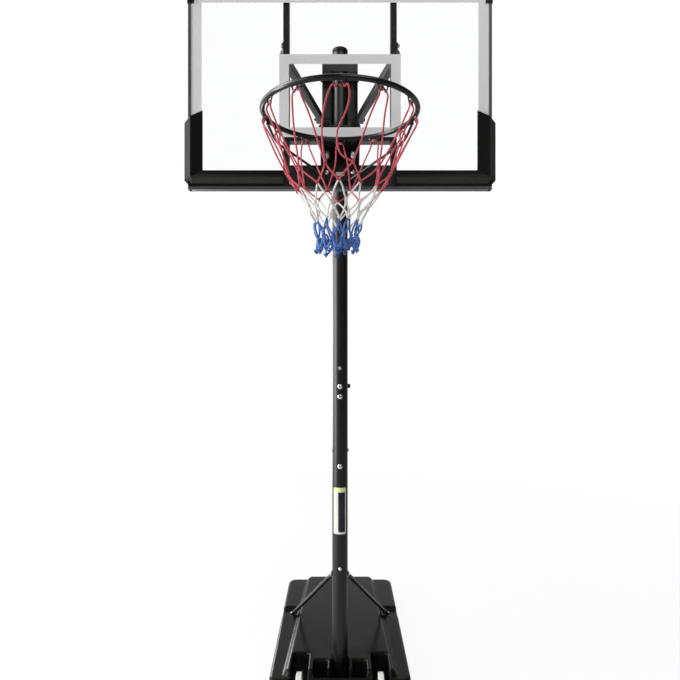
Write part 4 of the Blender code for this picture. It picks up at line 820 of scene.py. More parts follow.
def add_thread(shape, place, axis, radius, length, way=1.0):
    """A threaded end with ridges."""
    profile = [(0.82 * radius, 0.0)]
    for turn in range(int(length / PITCH)):
        profile += [(0.84 * radius, (turn + 0.25) * PITCH), (radius, (turn + 0.75) * PITCH)]
    profile += [(0.8 * radius, length - 0.1 * PITCH), (0.0001, length)]
    add_turned(shape, profile, place, axis, 16, way=way)


# %% Bolts
BOLTS = (  # form of the head, its radius, and who has it
    ("square", 0.0078, "strut_front_bolt guide_bolt_3"),
    ("dome", 0.0118, "lower_joint_front_bolt guide_bolt_1 guide_bolt_2"),
    ("dome", 0.0088, "ring_bolt_1 ring_bolt_3"),
    ("hex", None, "strut_cross_bolt lower_joint_cross_bolt upper_joint_cross_bolt "
                  "channel_bolt upper_pivot_bolt lower_pivot_bolt arm_link_pin "
                  "lower_board_bolt"),
)
COATED_BOLTS = ("channel_bolt", "upper_pivot_bolt", "lower_pivot_bolt", "lower_board_bolt")


def fitted(name, shape, kind="_set", finish=zinc):
    """Show a set of fittings in the place of a node."""
    make_piece(name + kind, shape, finish, name, sharp=32.0)


def fit_bolt(name, form, radius):
    """Put a detailed bolt where a plain one is, with its head to the front, right or top."""
    low, high, seat = boxed(name)
    size, foot = high - low, seat.copy()
    along = max(range(3), key=lambda axis: size[axis])
    letter = "XYZ"[along]
    to_front = letter == "Y"
    seat[along] = (low[along] + HEAD_HEIGHT) if to_front else (high[along] - HEAD_HEIGHT)
    foot[along] = (high[along] - NUT_HEIGHT) if to_front else (low[along] + NUT_HEIGHT)
    across = min(size[axis] for axis in range(3) if axis != along) / 2
    radius = radius or min(0.0078, across)
    made = start_shape()
    add_cord(made, [seat, foot], PLAIN_ROD if across < 0.0088 else THICK_ROD, 16)
    add_fitting(made, form, seat, letter, radius, HEAD_HEIGHT)
    add_fitting(made, "washer", seat, letter, 1.28 * radius if form == "hex" else radius * 1.03,
                WASHER_THICK)
    add_fitting(made, "hex", foot, letter, NUT_RADIUS, NUT_HEIGHT, -1.0)
    add_fitting(made, "washer", foot, letter, WASHER_RADIUS, WASHER_THICK, -1.0)
    tip = foot.copy()
    tip[along] += (NUT_HEIGHT - 0.001) * (1.0 if to_front else -1.0)
    add_thread(made, tip, letter, THREAD_RADIUS, THREAD_LENGTH, -1.0)
    fitted(name, made, finish=black_coat if name in COATED_BOLTS else zinc)


for form, radius, names in BOLTS:
    for name in names.split():
        fit_bolt(name, form, radius)
for name in ("strut_foot_bolt_left", "strut_foot_bolt_right"):
    low, high, seat = boxed(name)
    seat.z = high.z - HEAD_HEIGHT
    foot_bolt = start_shape()
    add_fitting(foot_bolt, "hex", seat, "Z", 0.0070, HEAD_HEIGHT)
    add_fitting(foot_bolt, "washer", seat, "Z", 0.0095, WASHER_THICK)
    add_cord(foot_bolt, [seat, Vector((seat.x, seat.y, low.z))], THIN_ROD, 16)
    fitted(name, foot_bolt)

# %% [markdown]
# ## The ring's springs
# The two upper ring bolts carry springs, so that the ring gives a little when someone
# hangs on it. A spring is a helix: a cord swept along a path that turns as it advances.

# %% Springs on the upper ring bolts
SPRING_TURNS, SPRING_RADIUS, SPRING_WIRE, SPRING_LENGTH = 5.5, 0.0088, 0.0014, 0.026
SPRING_STEPS = 20  # to a turn
CUP_RADIUS, CUP_THICK, SPRING_NUT = 0.0108, 0.0016, 0.0074
for name in ("ring_bolt_2", "ring_bolt_4"):
    low, high, (x, _, z) = boxed(name)
    face = low.y + HEAD_HEIGHT
    sprung = start_shape()
    add_fitting(sprung, "washer", (x, face, z), "Y", CUP_RADIUS, CUP_THICK)
    coil = []
    for step in range(int(SPRING_TURNS * SPRING_STEPS) + 1):
        turn = 2 * math.pi * step / SPRING_STEPS
        coil.append(Vector((x + SPRING_RADIUS * math.cos(turn), face - 0.003
                            - SPRING_LENGTH * step / (SPRING_TURNS * SPRING_STEPS),
                            z + SPRING_RADIUS * math.sin(turn))))
    add_cord(sprung, coil, SPRING_WIRE)
    end = face - 0.003 - SPRING_LENGTH - SPRING_WIRE
    add_fitting(sprung, "washer", (x, end, z), "Y", CUP_RADIUS, CUP_THICK)
    add_fitting(sprung, "hex", (x, end - CUP_THICK, z), "Y", SPRING_NUT, 0.0070)
    add_thread(sprung, (x, end - 0.0080, z), "Y", 0.0040, 0.0070)
    add_cord(sprung, [Vector((x, end, z)), Vector((x, high.y - 0.004, z))], THIN_ROD, 16)
    add_fitting(sprung, "hex", (x, high.y - NUT_HEIGHT, z), "Y", NUT_RADIUS, NUT_HEIGHT, -1.0)
    fitted(name, sprung, "_spring_set")

# %% [markdown]
# ## The base tank
# The tank is blown from one tube of hot plastic, so nothing on it has a sharp edge. The
# way here follows that: simple blocks are stacked and cut, then the whole is rebuilt as a
# fine even skin with the voxel Remesh modifier and relaxed with Smooth, which rounds every
# edge by about the same amount, as the mould does.


# %% Blocks for the tank
def rounded_plan(front_half, rear_half, front, rear, radius, steps=6):
    """A plan outline with round corners, anticlockwise from the front right."""
    outline = []
    corners = ((front_half - radius, front + radius, -90), (rear_half - radius, rear - radius, 0),
               (radius - rear_half, rear - radius, 90), (radius - front_half, front + radius, 180))
    for x, y, start in corners:
        for step in range(steps + 1):
            turn = math.radians(start + 90 * step / steps)
            outline.append((x + radius * math.cos(turn), y + radius * math.sin(turn)))
    return outline


def rough_block(name, plan, levels, shift=0.0):
    """A block of one plan at several heights, grown or shrunk at each, for cutting only."""
    front_half, rear_half, front, rear, radius = plan
    block = start_shape()
    bridge_rings(block, [
        [Vector((x + shift, y, height)) for x, y in rounded_plan(
            front_half + grow, rear_half + grow, front - grow, rear + grow, radius + grow)]
        for grow, height in levels])
    return show(name, build_mesh(name, block, mapped=False))


TANK_PLAN = (0.335, 0.335, -0.150, 0.990, 0.050)  # half widths, front, rear, corners
TANK_LEVELS = ((-0.012, 0.0), (-0.003, 0.004), (0.0, 0.012), (0.0, 0.104), (-0.004, 0.112),
               (-0.013, 0.118))
PLATEAU_PLAN = (0.265, 0.215, -0.128, 0.968, 0.035)
PLATEAU_LEVELS = ((0.010, 0.090), (0.004, 0.119), (0.000, 0.126), (-0.006, 0.138),
                  (-0.015, 0.147), (-0.024, 0.150))
PAIRED_CUTS = (
    ("well", (0.03975, 0.03975, -0.220, 0.036, 0.018),
     ((0.0, -0.02), (0.0, 0.138), (0.005, 0.1505), (0.012, 0.17)), 0.19275),
    ("pocket", (0.034, 0.034, -0.130, -0.022, 0.012),
     ((-0.004, 0.030), (-0.001, 0.138), (0.003, 0.1505), (0.007, 0.17)), 0.094),
    ("seat", (0.060, 0.060, 0.495, 0.595, 0.008),
     ((0.0, 0.098), (0.002, 0.12), (0.004, 0.17)), 0.310),
)
MIDDLE_CUTS = (
    ("pole_bay", (0.0465, 0.0465, -0.130, -0.022, 0.010),
     ((-0.003, 0.030), (0.0, 0.138), (0.002, 0.17))),
    ("bay_link", (0.080, 0.080, -0.130, -0.097, 0.012), ((-0.003, 0.030), (0.0, 0.17))),
)
ROUND_CUTS = (("socket", 0.0392, 0.0, 0.020), ("filler", 0.0172, 0.900, 0.120))
CUT_TOP = 0.17
AXLE_SLOT = ("axle_slot", (0.2515, 0.2515, -0.1190, -0.1050, 0.004),
             ((0.0, -0.02), (0.0, 0.0738)))
tank = rough_block("tank_work", TANK_PLAN, TANK_LEVELS)
raised = rough_block("plateau_work", PLATEAU_PLAN, PLATEAU_LEVELS)
cuts = [rough_block(f"{name}_{side}", plan, levels, side * shift)
        for side in (-1, 1) for name, plan, levels, shift in PAIRED_CUTS]
cuts += [rough_block(*cut) for cut in MIDDLE_CUTS]
for name, radius, y, foot in ROUND_CUTS:
    hole = start_shape()
    add_turned(hole, [(radius, foot), (radius, CUT_TOP)], (0.0, y, 0.0), "Z", 40)
    cuts.append(show(name, build_mesh(name, hole, mapped=False)))
cuts.append(rough_block(*AXLE_SLOT))
for operation, others in (("UNION", [raised]), ("DIFFERENCE", cuts)):
    for other in others:
        step = tank.modifiers.new(other.name, "BOOLEAN")
        step.operation, step.solver, step.object = operation, "EXACT", other
print("tank work:", 1 + len(cuts), "blocks")

# %% The moulded skin
VOXEL = 0.0045
skin = tank.modifiers.new("skin", "REMESH")
skin.mode, skin.voxel_size = "VOXEL", VOXEL
relax = tank.modifiers.new("relax", "SMOOTH")
relax.factor, relax.iterations = 0.5, 7
bpy.context.view_layer.update()
moulded_mesh = bpy.data.meshes.new_from_object(
    tank.evaluated_get(bpy.context.evaluated_depsgraph_get()))
for rough in [tank, raised, *cuts]:
    bpy.data.objects.remove(rough, do_unlink=True)
moulded_mesh.name = "moulded_tank"
moulded_mesh.materials.clear()
dress("moulded_tank", moulded_mesh, tank_plastic, "base_tank")

# %% [markdown]
# Where the two halves of the mould met there is a thin raised line round the tank. It
# stops at the wheel wells.

# %% The mould line
SEAM_HEIGHT, SEAM_RADIUS, SEAM_FRONT = 0.058, 0.0011, -0.1501
WELL_OUTER, WELL_INNER = 0.2425, 0.1435
loop = rounded_plan(0.3351, 0.3351, SEAM_FRONT, 0.9901, 0.0501, 10)
lead = max(range(len(loop)), key=lambda i: (-round(loop[i][1], 4), loop[i][0]))
loop = [(WELL_OUTER, SEAM_FRONT), *loop[lead:], *loop[:lead], (-WELL_OUTER, SEAM_FRONT)]
middle = [(x, SEAM_FRONT) for x in (-WELL_INNER, -0.05, 0.05, WELL_INNER)]
seam = start_shape()
for line in (loop, middle):
    add_cord(seam, [Vector((x, y, SEAM_HEIGHT)) for x, y in line], SEAM_RADIUS, 6)
make_piece("tank_mould_line", seam, tank_plastic, body="stand")

# %% [markdown]
# ## Wheels and filler cap
# The wheels are hard pale plastic with a hollow between hub and tread and six ribs. Both
# the wheel and the cap are turned on a lathe in code; the cap's rim waves in and out to
# give the fingers a grip.

# %% Wheels
WHEEL_HALF_PROFILE = ((0.0066, 0.0380), (0.0130, 0.0380), (0.0140, 0.0370), (0.0145, 0.0100),
                      (0.0180, 0.0070), (0.0500, 0.0070), (0.0535, 0.0090), (0.0548, 0.0132),
                      (0.0565, 0.0140), (0.0605, 0.0138), (0.0632, 0.0122), (0.0640, 0.0095))
RIB_INNER, RIB_OUTER, RIB_SIDE, RIB_RADIUS = 0.0135, 0.0545, 0.0085, 0.0032
for name in ("wheel_left", "wheel_right"):
    _, _, hub = boxed(name)
    wheel = start_shape()
    profile = [*WHEEL_HALF_PROFILE, *((reach, -x) for reach, x in WHEEL_HALF_PROFILE[::-1])]
    add_turned(wheel, profile, hub, "X", 64, hollow=True)
    for turn in around(6):
        out = Vector((0.0, math.cos(turn), math.sin(turn)))
        for side in (-1, 1):
            across = Vector((side * RIB_SIDE, 0.0, 0.0))
            add_cord(wheel, [hub + across + out * RIB_INNER, hub + across + out * RIB_OUTER],
                     RIB_RADIUS, 10)
    make_piece(name + "_moulded", wheel, wheel_plastic, name, sharp=30.0)

# %% Filler cap and pole cap
CAP_SEAT, POLE_TOP = 0.150, 3.098
_, _, seat = boxed("filler_cap")
seat.z = CAP_SEAT
filler = start_shape()
add_turned(filler, [(0.0001, -0.016), (0.0150, -0.016), (0.0162, -0.0145), (0.0162, 0.0004),
                    (0.0252, 0.0004), (0.0260, 0.0014), (0.0260, 0.0094), (0.0246, 0.0112),
                    (0.0222, 0.0118), (0.0186, 0.0118), (0.0172, 0.0104), (0.0166, 0.0080),
                    (0.0001, 0.0080)], seat, "Z", 96,
           lambda turn, height: 1.0 + (0.018 * math.cos(24 * turn) if 0.001 < height < 0.0100
                                       else 0.0))
add_cord(filler, [seat + Vector((x, 0, 0.0090)) for x in (-0.0165, -0.012, 0.012, 0.0165)],
         [0.0022, 0.0030, 0.0030, 0.0022], 12)
make_piece("filler_cap_gripped", filler, cap_plastic, "filler_cap")
cap = start_shape()
dome = [(0.038 * math.sin(turn), 0.018 + 0.014 * math.cos(turn))
        for turn in (math.pi / 2 * i / 12 for i in range(1, 13))]
add_turned(cap, [(0.0001, 0.032), *dome, (0.038, 0.0065), (0.0372, 0.0055), (0.0372, 0.0035),
                 (0.0380, 0.0028), (0.0380, 0.0004), (0.0358, 0.0003), (0.0355, -0.030),
                 (0.0001, -0.030)], (0.0, 0.0, POLE_TOP), "Z", 64)
make_piece("pole_cap_domed", cap, cap_plastic, "pole_cap")

# %% [markdown]
# ## The pole
# Three tubes slide into each other. Each is a hollow profile turned round the axis, with
# the end of the upper one rolled slightly over the step of the one below, and a welded
# seam down the back that the coat doesn't quite hide.

# %% Pole sections
POLE_RADIUS, POLE_WALL, SOFT_RIM = 0.038, 0.0018, 0.0007
WELD_RADIUS, NECK_LENGTH = 0.0009, 0.125


def tube_section(name, foot, top, neck):
    """A tube with soft rims, drawn in above its top if it has a neck."""
    inner = POLE_RADIUS - POLE_WALL
    profile = [(inner, foot), (POLE_RADIUS - SOFT_RIM, foot), (POLE_RADIUS, foot + 0.0009)]
    if neck:
        slim = inner - 0.0003
        profile += [(POLE_RADIUS, top - 0.0034), (POLE_RADIUS - 0.0006, top - 0.0022),
                    (slim + 0.0004, top - 0.0002), (slim, top + 0.001),
                    (slim, top + NECK_LENGTH), (slim - POLE_WALL, top + NECK_LENGTH),
                    (slim - POLE_WALL, top - 0.003), (inner, top - 0.005)]
    else:
        profile += [(POLE_RADIUS, top - 0.0009), (POLE_RADIUS - SOFT_RIM, top), (inner, top)]
    tube = start_shape()
    add_turned(tube, profile, (0.0, 0.0, 0.0), "Z", 72, hollow=True)
    add_cord(tube, [Vector((0.0, POLE_RADIUS - 0.0004, height))
                    for height in (foot + 0.001, (foot + top) / 2, top - 0.004)], WELD_RADIUS)
    make_piece(name + "_tube", tube, black_coat, name)


for name, foot, top, neck in (("pole_lower", 0.020, 1.066, True),
                              ("pole_middle", 1.0663, 2.110, True),
                              ("pole_upper", 2.1103, POLE_TOP, False)):
    tube_section(name, foot, top, neck)

# %% [markdown]
# ## The struts
# Each strut is a tube whose two ends are pressed flat and drilled. The section goes from a
# flat oval to a circle and back along the path, and the flat turns a quarter between the
# pole's side and the tank's top, so the rings are laid out one by one.

# %% Struts with pressed ends
STRUT_STATIONS = (  # x, y, z, half width, half thickness
    (0.0400, -0.004, 0.5690, 0.0070, 0.0020), (0.0400, -0.003, 0.5655, 0.0115, 0.0020),
    (0.0400, 0.000, 0.5560, 0.0120, 0.0020), (0.0402, 0.008, 0.5470, 0.0120, 0.0022),
    (0.0425, 0.016, 0.5410, 0.0118, 0.0045), (0.0480, 0.026, 0.5330, 0.0105, 0.0090),
    (0.0600, 0.052, 0.5110, 0.0100, 0.0100), (0.1500, 0.251, 0.3410, 0.0100, 0.0100),
    (0.2560, 0.489, 0.1410, 0.0100, 0.0100), (0.2680, 0.514, 0.1190, 0.0106, 0.0085),
    (0.2740, 0.526, 0.1090, 0.0118, 0.0048), (0.2785, 0.536, 0.1030, 0.0120, 0.0022),
    (0.2800, 0.548, 0.1004, 0.0120, 0.0020), (0.2800, 0.559, 0.1004, 0.0115, 0.0020),
    (0.2800, 0.563, 0.1004, 0.0070, 0.0020),
)
for side, name in ((-1, "strut_left"), (1, "strut_right")):
    middle = [Vector((side * x, y, z)) for x, y, z, _, _ in STRUT_STATIONS]
    rings = []
    for i, (place, ahead) in enumerate(zip(middle, headings(middle))):
        share = min(1.0, max(0.0, (i - 4) / (len(middle) - 9)))
        wide = Vector((0, 1, 0)).lerp(Vector((side, 0, 0)), share)
        wide = (wide - ahead * wide.dot(ahead)).normalized()
        half_width, half_thick = STRUT_STATIONS[i][3:]
        rings.append([place + wide * half_width * math.cos(turn)
                      + ahead.cross(wide) * half_thick * math.sin(turn)
                      for turn in around(20)])
    skin_piece(name + "_pressed", rings, black_coat, name, sharp=60.0)

# %% [markdown]
# ## Soft edges on the corner caps
# The caps at the board's upper corners have true outlines already, so a copy is enough:
# its seams are closed, flat triangles are merged, and the edges that are left are bevelled.

# %% Copies with rounded edges
CAP_BEVEL = 0.0010
for tag in ("left", "right"):
    node = "corner_cap_" + tag
    work = bmesh.new()
    work.from_mesh(frame["nodes"][node].data)
    bmesh.ops.remove_doubles(work, verts=work.verts, dist=0.00002)
    bmesh.ops.dissolve_limit(work, angle_limit=math.radians(1.0), verts=work.verts,
                             edges=work.edges)
    edges = [edge for edge in work.edges if len(edge.link_faces) == 2
             and edge.calc_face_angle(0.0) > math.radians(22.0)]
    bmesh.ops.bevel(work, geom=edges, offset=CAP_BEVEL, segments=3, profile=0.5,
                    affect="EDGES", clamp_overlap=True)
    name = f"cap_{tag}_moulded"
    mesh = bpy.data.meshes.new(name)
    work.to_mesh(mesh)
    work.free()
    dress(name, mesh, cap_plastic, node, sharp=50.0)

# %% [markdown]
# The two corner pads are roof-shaped: a wide slope rises from the inner edge to a ridge
# that turns the corner, and a steeper one falls to the outside, which is painted paler as
# painted light. Each line of the pad runs down the side, round the corner and along the bottom, so
# the pad is built by laying such lines next to each other, over the ridge and to the back.

# %% Corner pads
PAD_INNER_X, PAD_INNER_Z, PAD_END_X = 0.497, 2.314, 0.205
PAD_TOP, RIDGE_OUT = 2.530, 0.0415
PAD_LINES = (  # distance out and down from the inner edge, depth y, cut at the corner
    (0.0000, 0.0000, -0.7315, 0.002), (0.0000, 0.0000, -0.7338, 0.002),
    (0.0012, 0.0010, -0.7350, 0.002), (0.0400, 0.0248, -0.7440, 0.002),
    (0.0415, 0.0260, -0.7446, 0.003), (0.0430, 0.0275, -0.7441, 0.004),
    (0.0650, 0.0560, -0.7296, 0.026), (0.0672, 0.0640, -0.7276, 0.030),
    (0.0680, 0.0665, -0.7250, 0.031), (0.0680, 0.0665, -0.7060, 0.031),
    (0.0672, 0.0657, -0.7036, 0.030), (0.0535, 0.0575, -0.7034, 0.004),
    (0.0535, 0.0575, -0.7333, 0.004), (0.0400, 0.0440, -0.7333, 0.002),
    (0.0390, 0.0430, -0.7315, 0.002),
)
RIVETS = ((0.405, 2.2475, True), (0.250, 2.2475, True), (0.565, 2.330, False),
          (0.565, 2.440, False))  # x, z and whether it looks down
RIVET_PROFILE = ((0.0001, 0.0022), (0.0022, 0.0020), (0.0036, 0.0012), (0.0041, 0.0001),
                 (0.0041, -0.004), (0.0001, -0.004))


def pad_top(out):
    """The height of the pad's upper end, which slopes away from the board's middle."""
    return PAD_TOP - 0.55 * min(out, RIDGE_OUT) - 0.80 * max(0.0, out - RIDGE_OUT)


for side, tag in ((-1, "left"), (1, "right")):
    rings = [[], [], [], []]
    for out, down, depth, corner in PAD_LINES:
        x, z = PAD_INNER_X + out, PAD_INNER_Z - down
        for ring, (u, v) in zip(rings, ((x, pad_top(out)), (x, z + corner), (x - corner, z),
                                        (PAD_END_X, z))):
            ring.append(Vector((side * u, depth, v)))
    skin_piece(f"pad_{tag}_moulded", rings, pad_rubber, "corner_pad_" + tag, sharp=8.0)
    for number, (x, z, down) in enumerate(RIVETS, 1):
        stud = start_shape()
        add_turned(stud, RIVET_PROFILE, (side * x, -0.7155, z),
                   "-Z" if down else "X" if side > 0 else "-X", 20)
        make_piece(f"pad_{tag}_rivet_{number}", stud, cap_plastic, body="backboard")

# %% [markdown]
# ## The upper arms
# The upper arms are square tubes that spread towards the board. Their front ends are
# pressed flat and rounded, so that they lie against the uprights, and one short bolt in a
# nut inside the upright holds each. The square ring narrows to a flat one along the path.

# %% Arms with pressed ends
ARM_LEVEL = 2.780
ARM_STATIONS = (  # distance out, y, half width, half height
    (0.2093, -0.7130, 0.0014, 0.0030), (0.2093, -0.7118, 0.0022, 0.0062),
    (0.2093, -0.7085, 0.0022, 0.0100), (0.2093, -0.7045, 0.0022, 0.0122),
    (0.2093, -0.6990, 0.0022, 0.0132), (0.2093, -0.6740, 0.0022, 0.0134),
    (0.2095, -0.6640, 0.0026, 0.0137), (0.2106, -0.6520, 0.0060, 0.0144),
    (0.2128, -0.6380, 0.0115, 0.0149), (0.2145, -0.6230, 0.0146, 0.0150),
    (0.2134, -0.6100, 0.0150, 0.0150), (0.1080, -0.0825, 0.0150, 0.0150),
    (0.1045, -0.0640, 0.0150, 0.0150), (0.1023, -0.0500, 0.0150, 0.0150),
    (0.1015, -0.0360, 0.0150, 0.0150), (0.1015, 0.0160, 0.0150, 0.0150),
)
SHORT_BOLT_Y, BOLT_OUTER, BOLT_INNER = -0.700, 0.2117, 0.1900
for side, tag in ((-1, "left"), (1, "right")):
    middle = [Vector((side * x, y, ARM_LEVEL)) for x, y, _, _ in ARM_STATIONS]
    rings = []
    for place, ahead, station in zip(middle, headings(middle), ARM_STATIONS):
        across = ahead.cross(Vector((0, 0, 1)))
        half_width, half_height = station[2:]
        section = rounded_plan(half_width, half_width, -half_height, half_height,
                               min(0.0025, 0.95 * half_width), 4)
        rings.append([place + across * u + Vector((0, 0, v)) for u, v in section])
    skin_piece(f"upper_arm_{tag}_pressed", rings, black_coat, "upper_arm_" + tag, sharp=30.0)
    short_bolt = start_shape()
    seat = Vector((side * BOLT_OUTER, SHORT_BOLT_Y, ARM_LEVEL))
    axis = "X" if side > 0 else "-X"
    add_fitting(short_bolt, "washer", seat, axis, 0.0100, 0.0014)
    add_fitting(short_bolt, "hex", seat + Vector((side * 0.0014, 0, 0)), axis, 0.0074, 0.0056)
    add_cord(short_bolt, [seat, Vector((side * BOLT_INNER, SHORT_BOLT_Y, ARM_LEVEL))],
             THICK_ROD, 16)
    fitted("board_pivot_bolt_" + tag, short_bolt)

# %% [markdown]
# The open ends of the square arms are closed with black plastic plugs, pushed in so that
# only a thin collar and a slightly domed face stand out. The lower arms are open at both
# ends, the upper ones only at the rear.


# %% Plugs in the ends of the arms
def end_plug(name, place, half, way, body):
    """A domed plug that closes a square tube; way is where it faces along y."""
    rings = []
    for reach, rise in ((half - 0.0026, -0.010), (half - 0.0024, 0.0001), (half, 0.0002),
                        (half, 0.0012), (half - 0.0012, 0.0022), (0.45 * half, 0.0030),
                        (0.001, 0.0032)):
        ring = rounded_plan(reach, reach, -reach, reach, min(0.004, 0.8 * reach), 3)
        rings.append([Vector(place) + Vector((x, way * rise, z)) for x, z in ring])
    skin_piece(name, rings, cap_plastic, body=body)


UPPER_HALF, LOWER_HALF = 0.0150, 0.0125
for tag in ("left", "right"):
    low, high, middle = boxed("upper_arm_" + tag)
    rear_x = high.x - UPPER_HALF if tag == "left" else low.x + UPPER_HALF
    end_plug(f"upper_arm_plug_rear_{tag}", (rear_x, high.y, middle.z), UPPER_HALF, 1,
             "upper_arms")
    low, high, middle = boxed("lower_arm_" + tag)
    for end, y, way in (("front", low.y, -1), ("rear", high.y, 1)):
        end_plug(f"lower_arm_plug_{end}_{tag}", (middle.x, y, middle.z), LOWER_HALF, way,
                 "lower_arms")

# %% [markdown]
# ## Printed lines and labels
# The border and the target rectangle are screen printed on the front of the clear sheet
# in plain grey. Ink has hardly any thickness, so each line is a thin closed sheet just in
# front of the panel, with the pinholes and slight streaks of the ink in its finish.


# %% Ink and paper
def printed(name, colour, streaks, roughness):
    """Ink or paper: even, slightly mottled, with fine pinholes."""
    made = start_finish(name, Specular_IOR_Level=0.12)
    tree = made[1]
    skin = apply_effect(tree, coat_grain, {"Grains per metre": 900.0,
                                           "Clouds per metre": 14.0})
    scuffed = apply_effect(tree, fine_scratches, {"Amount": 0.25})["Mask"]
    pinholes = spread(tree, skin["Height"], 0.68, 0.76)
    tone = mottled(tree, skin["Clouds"], shade(colour, 1 - streaks), shade(colour, 1 + streaks))
    tone = layered(tree, tone, (pinholes, shade(colour, 0.8)), (scuffed, shade(colour, 1.15)))
    gloss = spread(tree, skin["Clouds"], 0.3, 0.7, roughness - 0.05, roughness + 0.08)
    return end_finish(made, tone, gloss, skin["Height"], 0.00002)


grey_ink = printed("grey_ink", (0.62, 0.62, 0.62), 0.03, 0.45)
label_paper = printed("label_paper", (0.60, 0.60, 0.54), 0.05, 0.4)
label_dark = printed("label_dark_ink", (0.022, 0.020, 0.026), 0.2, 0.35)
label_bright = printed("label_bright_ink", (0.62, 0.72, 0.26), 0.05, 0.4)
print("print finishes:", grey_ink.name, label_paper.name)

# %% Printed border and target
INK_FRONT, INK_BACK, INK_STEP, INK_EDGE = -0.73142, -0.73127, 0.02, 0.00015


def dense(corners, closed):
    """Corners with more points between them."""
    path = []
    for i in range(len(corners) if closed else len(corners) - 1):
        a, b = Vector(corners[i]), Vector(corners[(i + 1) % len(corners)])
        pieces = max(1, round((b - a).length / INK_STEP))
        path += [a.lerp(b, k / pieces) for k in range(pieces)]
    return path if closed else path + [Vector(corners[-1])]


def print_line(name, corners, width, closed):
    """A flat stripe on the board, with a slightly uneven edge of ink."""
    chance = random.Random(5)
    path = dense(corners, closed)
    last = len(path) - 1
    rings = []
    for i, here in enumerate(path):
        run_in = (here - path[i - 1]).normalized() if closed or i else None
        run_out = (path[(i + 1) % (last + 1)] - here).normalized() if closed or i < last else None
        run_in, run_out = run_in or run_out, run_out or run_in
        sides = [Vector((-run.y, run.x)) for run in (run_in, run_out)]
        mitre = (sides[0] + sides[1]).normalized()
        reach = width / 2 / mitre.dot(sides[0])
        slip = chance.uniform(-INK_EDGE, INK_EDGE)
        near, far = here - mitre * (reach + slip), here + mitre * (reach - slip)
        rings.append([Vector((edge.x, y, edge.y)) for edge, y in (
            (near, INK_FRONT), (far, INK_FRONT), (far, INK_BACK), (near, INK_BACK))])
    skin_piece(name, rings, grey_ink, body="backboard", closed=closed)


print_line("printed_target", [(-0.2025, 2.4525), (0.2025, 2.4525), (0.2025, 2.7170),
                              (-0.2025, 2.7170)], 0.0352, True)
print_line("printed_border", [(-0.5205, 2.262), (-0.5205, 2.941), (0.5205, 2.941),
                              (0.5205, 2.262)], 0.0390, False)

# %% [markdown]
# On the pole sits a paper label: a pale ground, a dark field and a bright bar, with
# nothing written on them. The bracket carries a small blank plate. The label follows the
# tube, so its patches are bent round the pole's axis.

# %% Label and plate
LABEL = (  # degrees from the front, heights, radii, corner
    ("label_ground", label_paper, (-54, 48), (0.760, 0.985), (0.03806, 0.03822), 0.005),
    ("label_field", label_dark, (-13, 40), (0.770, 0.962), (0.03824, 0.03830), 0.002),
    ("label_bar", label_bright, (-52, 46), (0.966, 0.983), (0.03824, 0.03830), 0.002),
)
LABEL_STEPS = 24
for name, finish, (first, last), (foot, top), (inner, outer), corner in LABEL:
    rings = []
    for i in range(LABEL_STEPS + 1):
        turn = first + (last - first) * (i / LABEL_STEPS)
        reach = POLE_RADIUS * math.radians(min(turn - first, last - turn))
        inset = corner - math.sqrt(max(0.0, corner ** 2 - max(0.0, corner - reach) ** 2))
        low, high = foot + inset, top - inset
        angle = math.radians(turn)
        rings.append([Vector((radius * math.sin(angle), -radius * math.cos(angle), height))
                      for radius, height in ((inner, low), (inner, high), (outer, high),
                                             (outer, low))])
    skin_piece(name, rings, finish, body="stand")

PLATE_HALF_WIDTH, PLATE_HALF_HEIGHT, PLATE_CORNER, PLATE_LEVEL = 0.0150, 0.0070, 0.0018, 2.300
outline = [(sx * (PLATE_HALF_WIDTH - PLATE_CORNER * (1 - math.cos(t))),
            sz * (PLATE_HALF_HEIGHT - PLATE_CORNER * (1 - math.sin(t))))
           for sx, sz in ((1, 1), (-1, 1), (-1, -1), (1, -1))
           for t in map(math.radians, (0, 30, 60, 90)[::sx * sz])]
plate = [[Vector((x * grow, depth, PLATE_LEVEL + z * grow)) for x, z in outline]
         for grow, depth in ((1.0, -0.7346), (1.0, -0.7352), (0.97, -0.7355))]
skin_piece("blank_plate", plate, label_paper, body="backboard")

# %% [markdown]
# ## Grip and clamp knob
# The lower end of the push rod carries a ribbed rubber grip, and the clamp screw a knob
# with lobes. Both are turned shapes; the knob's radius waves six times round.

# %% Grip and knob
RIBS, RIB_PITCH, FIRST_RIB = 11, 0.0100, 0.006
RIB_PROFILE = ((0.0190, 0.0), (0.0206, 0.0015), (0.0210, 0.0035), (0.0206, 0.0055),
               (0.0190, 0.0070), (0.0184, 0.0085))
low, high, middle = boxed("rod_grip")
grip = start_shape()
profile = [(0.0172, low.z + 0.001)]
profile += [(reach, low.z + FIRST_RIB + rib * RIB_PITCH + rise)
            for rib in range(RIBS) for reach, rise in RIB_PROFILE]
profile += [(0.0200, high.z - 0.003), (0.0195, high.z - 0.0008), (0.0172, high.z - 0.0004)]
add_turned(grip, profile, (middle.x, middle.y, 0.0), "Z", 36, hollow=True)
make_piece("rod_grip_ribbed", grip, grip_rubber, "rod_grip")

LOBES, LOBE_DEPTH, LOBES_START = 6, 0.055, 0.025
low, high, middle = boxed("height_lock_knob")
knob = start_shape()
add_turned(knob, [(0.0001, low.x), (0.0037, low.x), (0.0037, 0.0180), (0.0070, 0.0182),
                  (0.0080, 0.0200), (0.0088, 0.0260), (0.0102, 0.0300), (0.0104, 0.0460),
                  (0.0098, 0.0500), (0.0080, 0.0522), (0.0050, 0.0529), (0.0001, 0.0530)],
           (0.0, middle.y, middle.z), "X", 72,
           lambda turn, x: 1.0 + LOBE_DEPTH * math.cos(LOBES * turn) * (x > LOBES_START))
make_piece("lock_knob_lobed", knob, cap_plastic, "height_lock_knob")

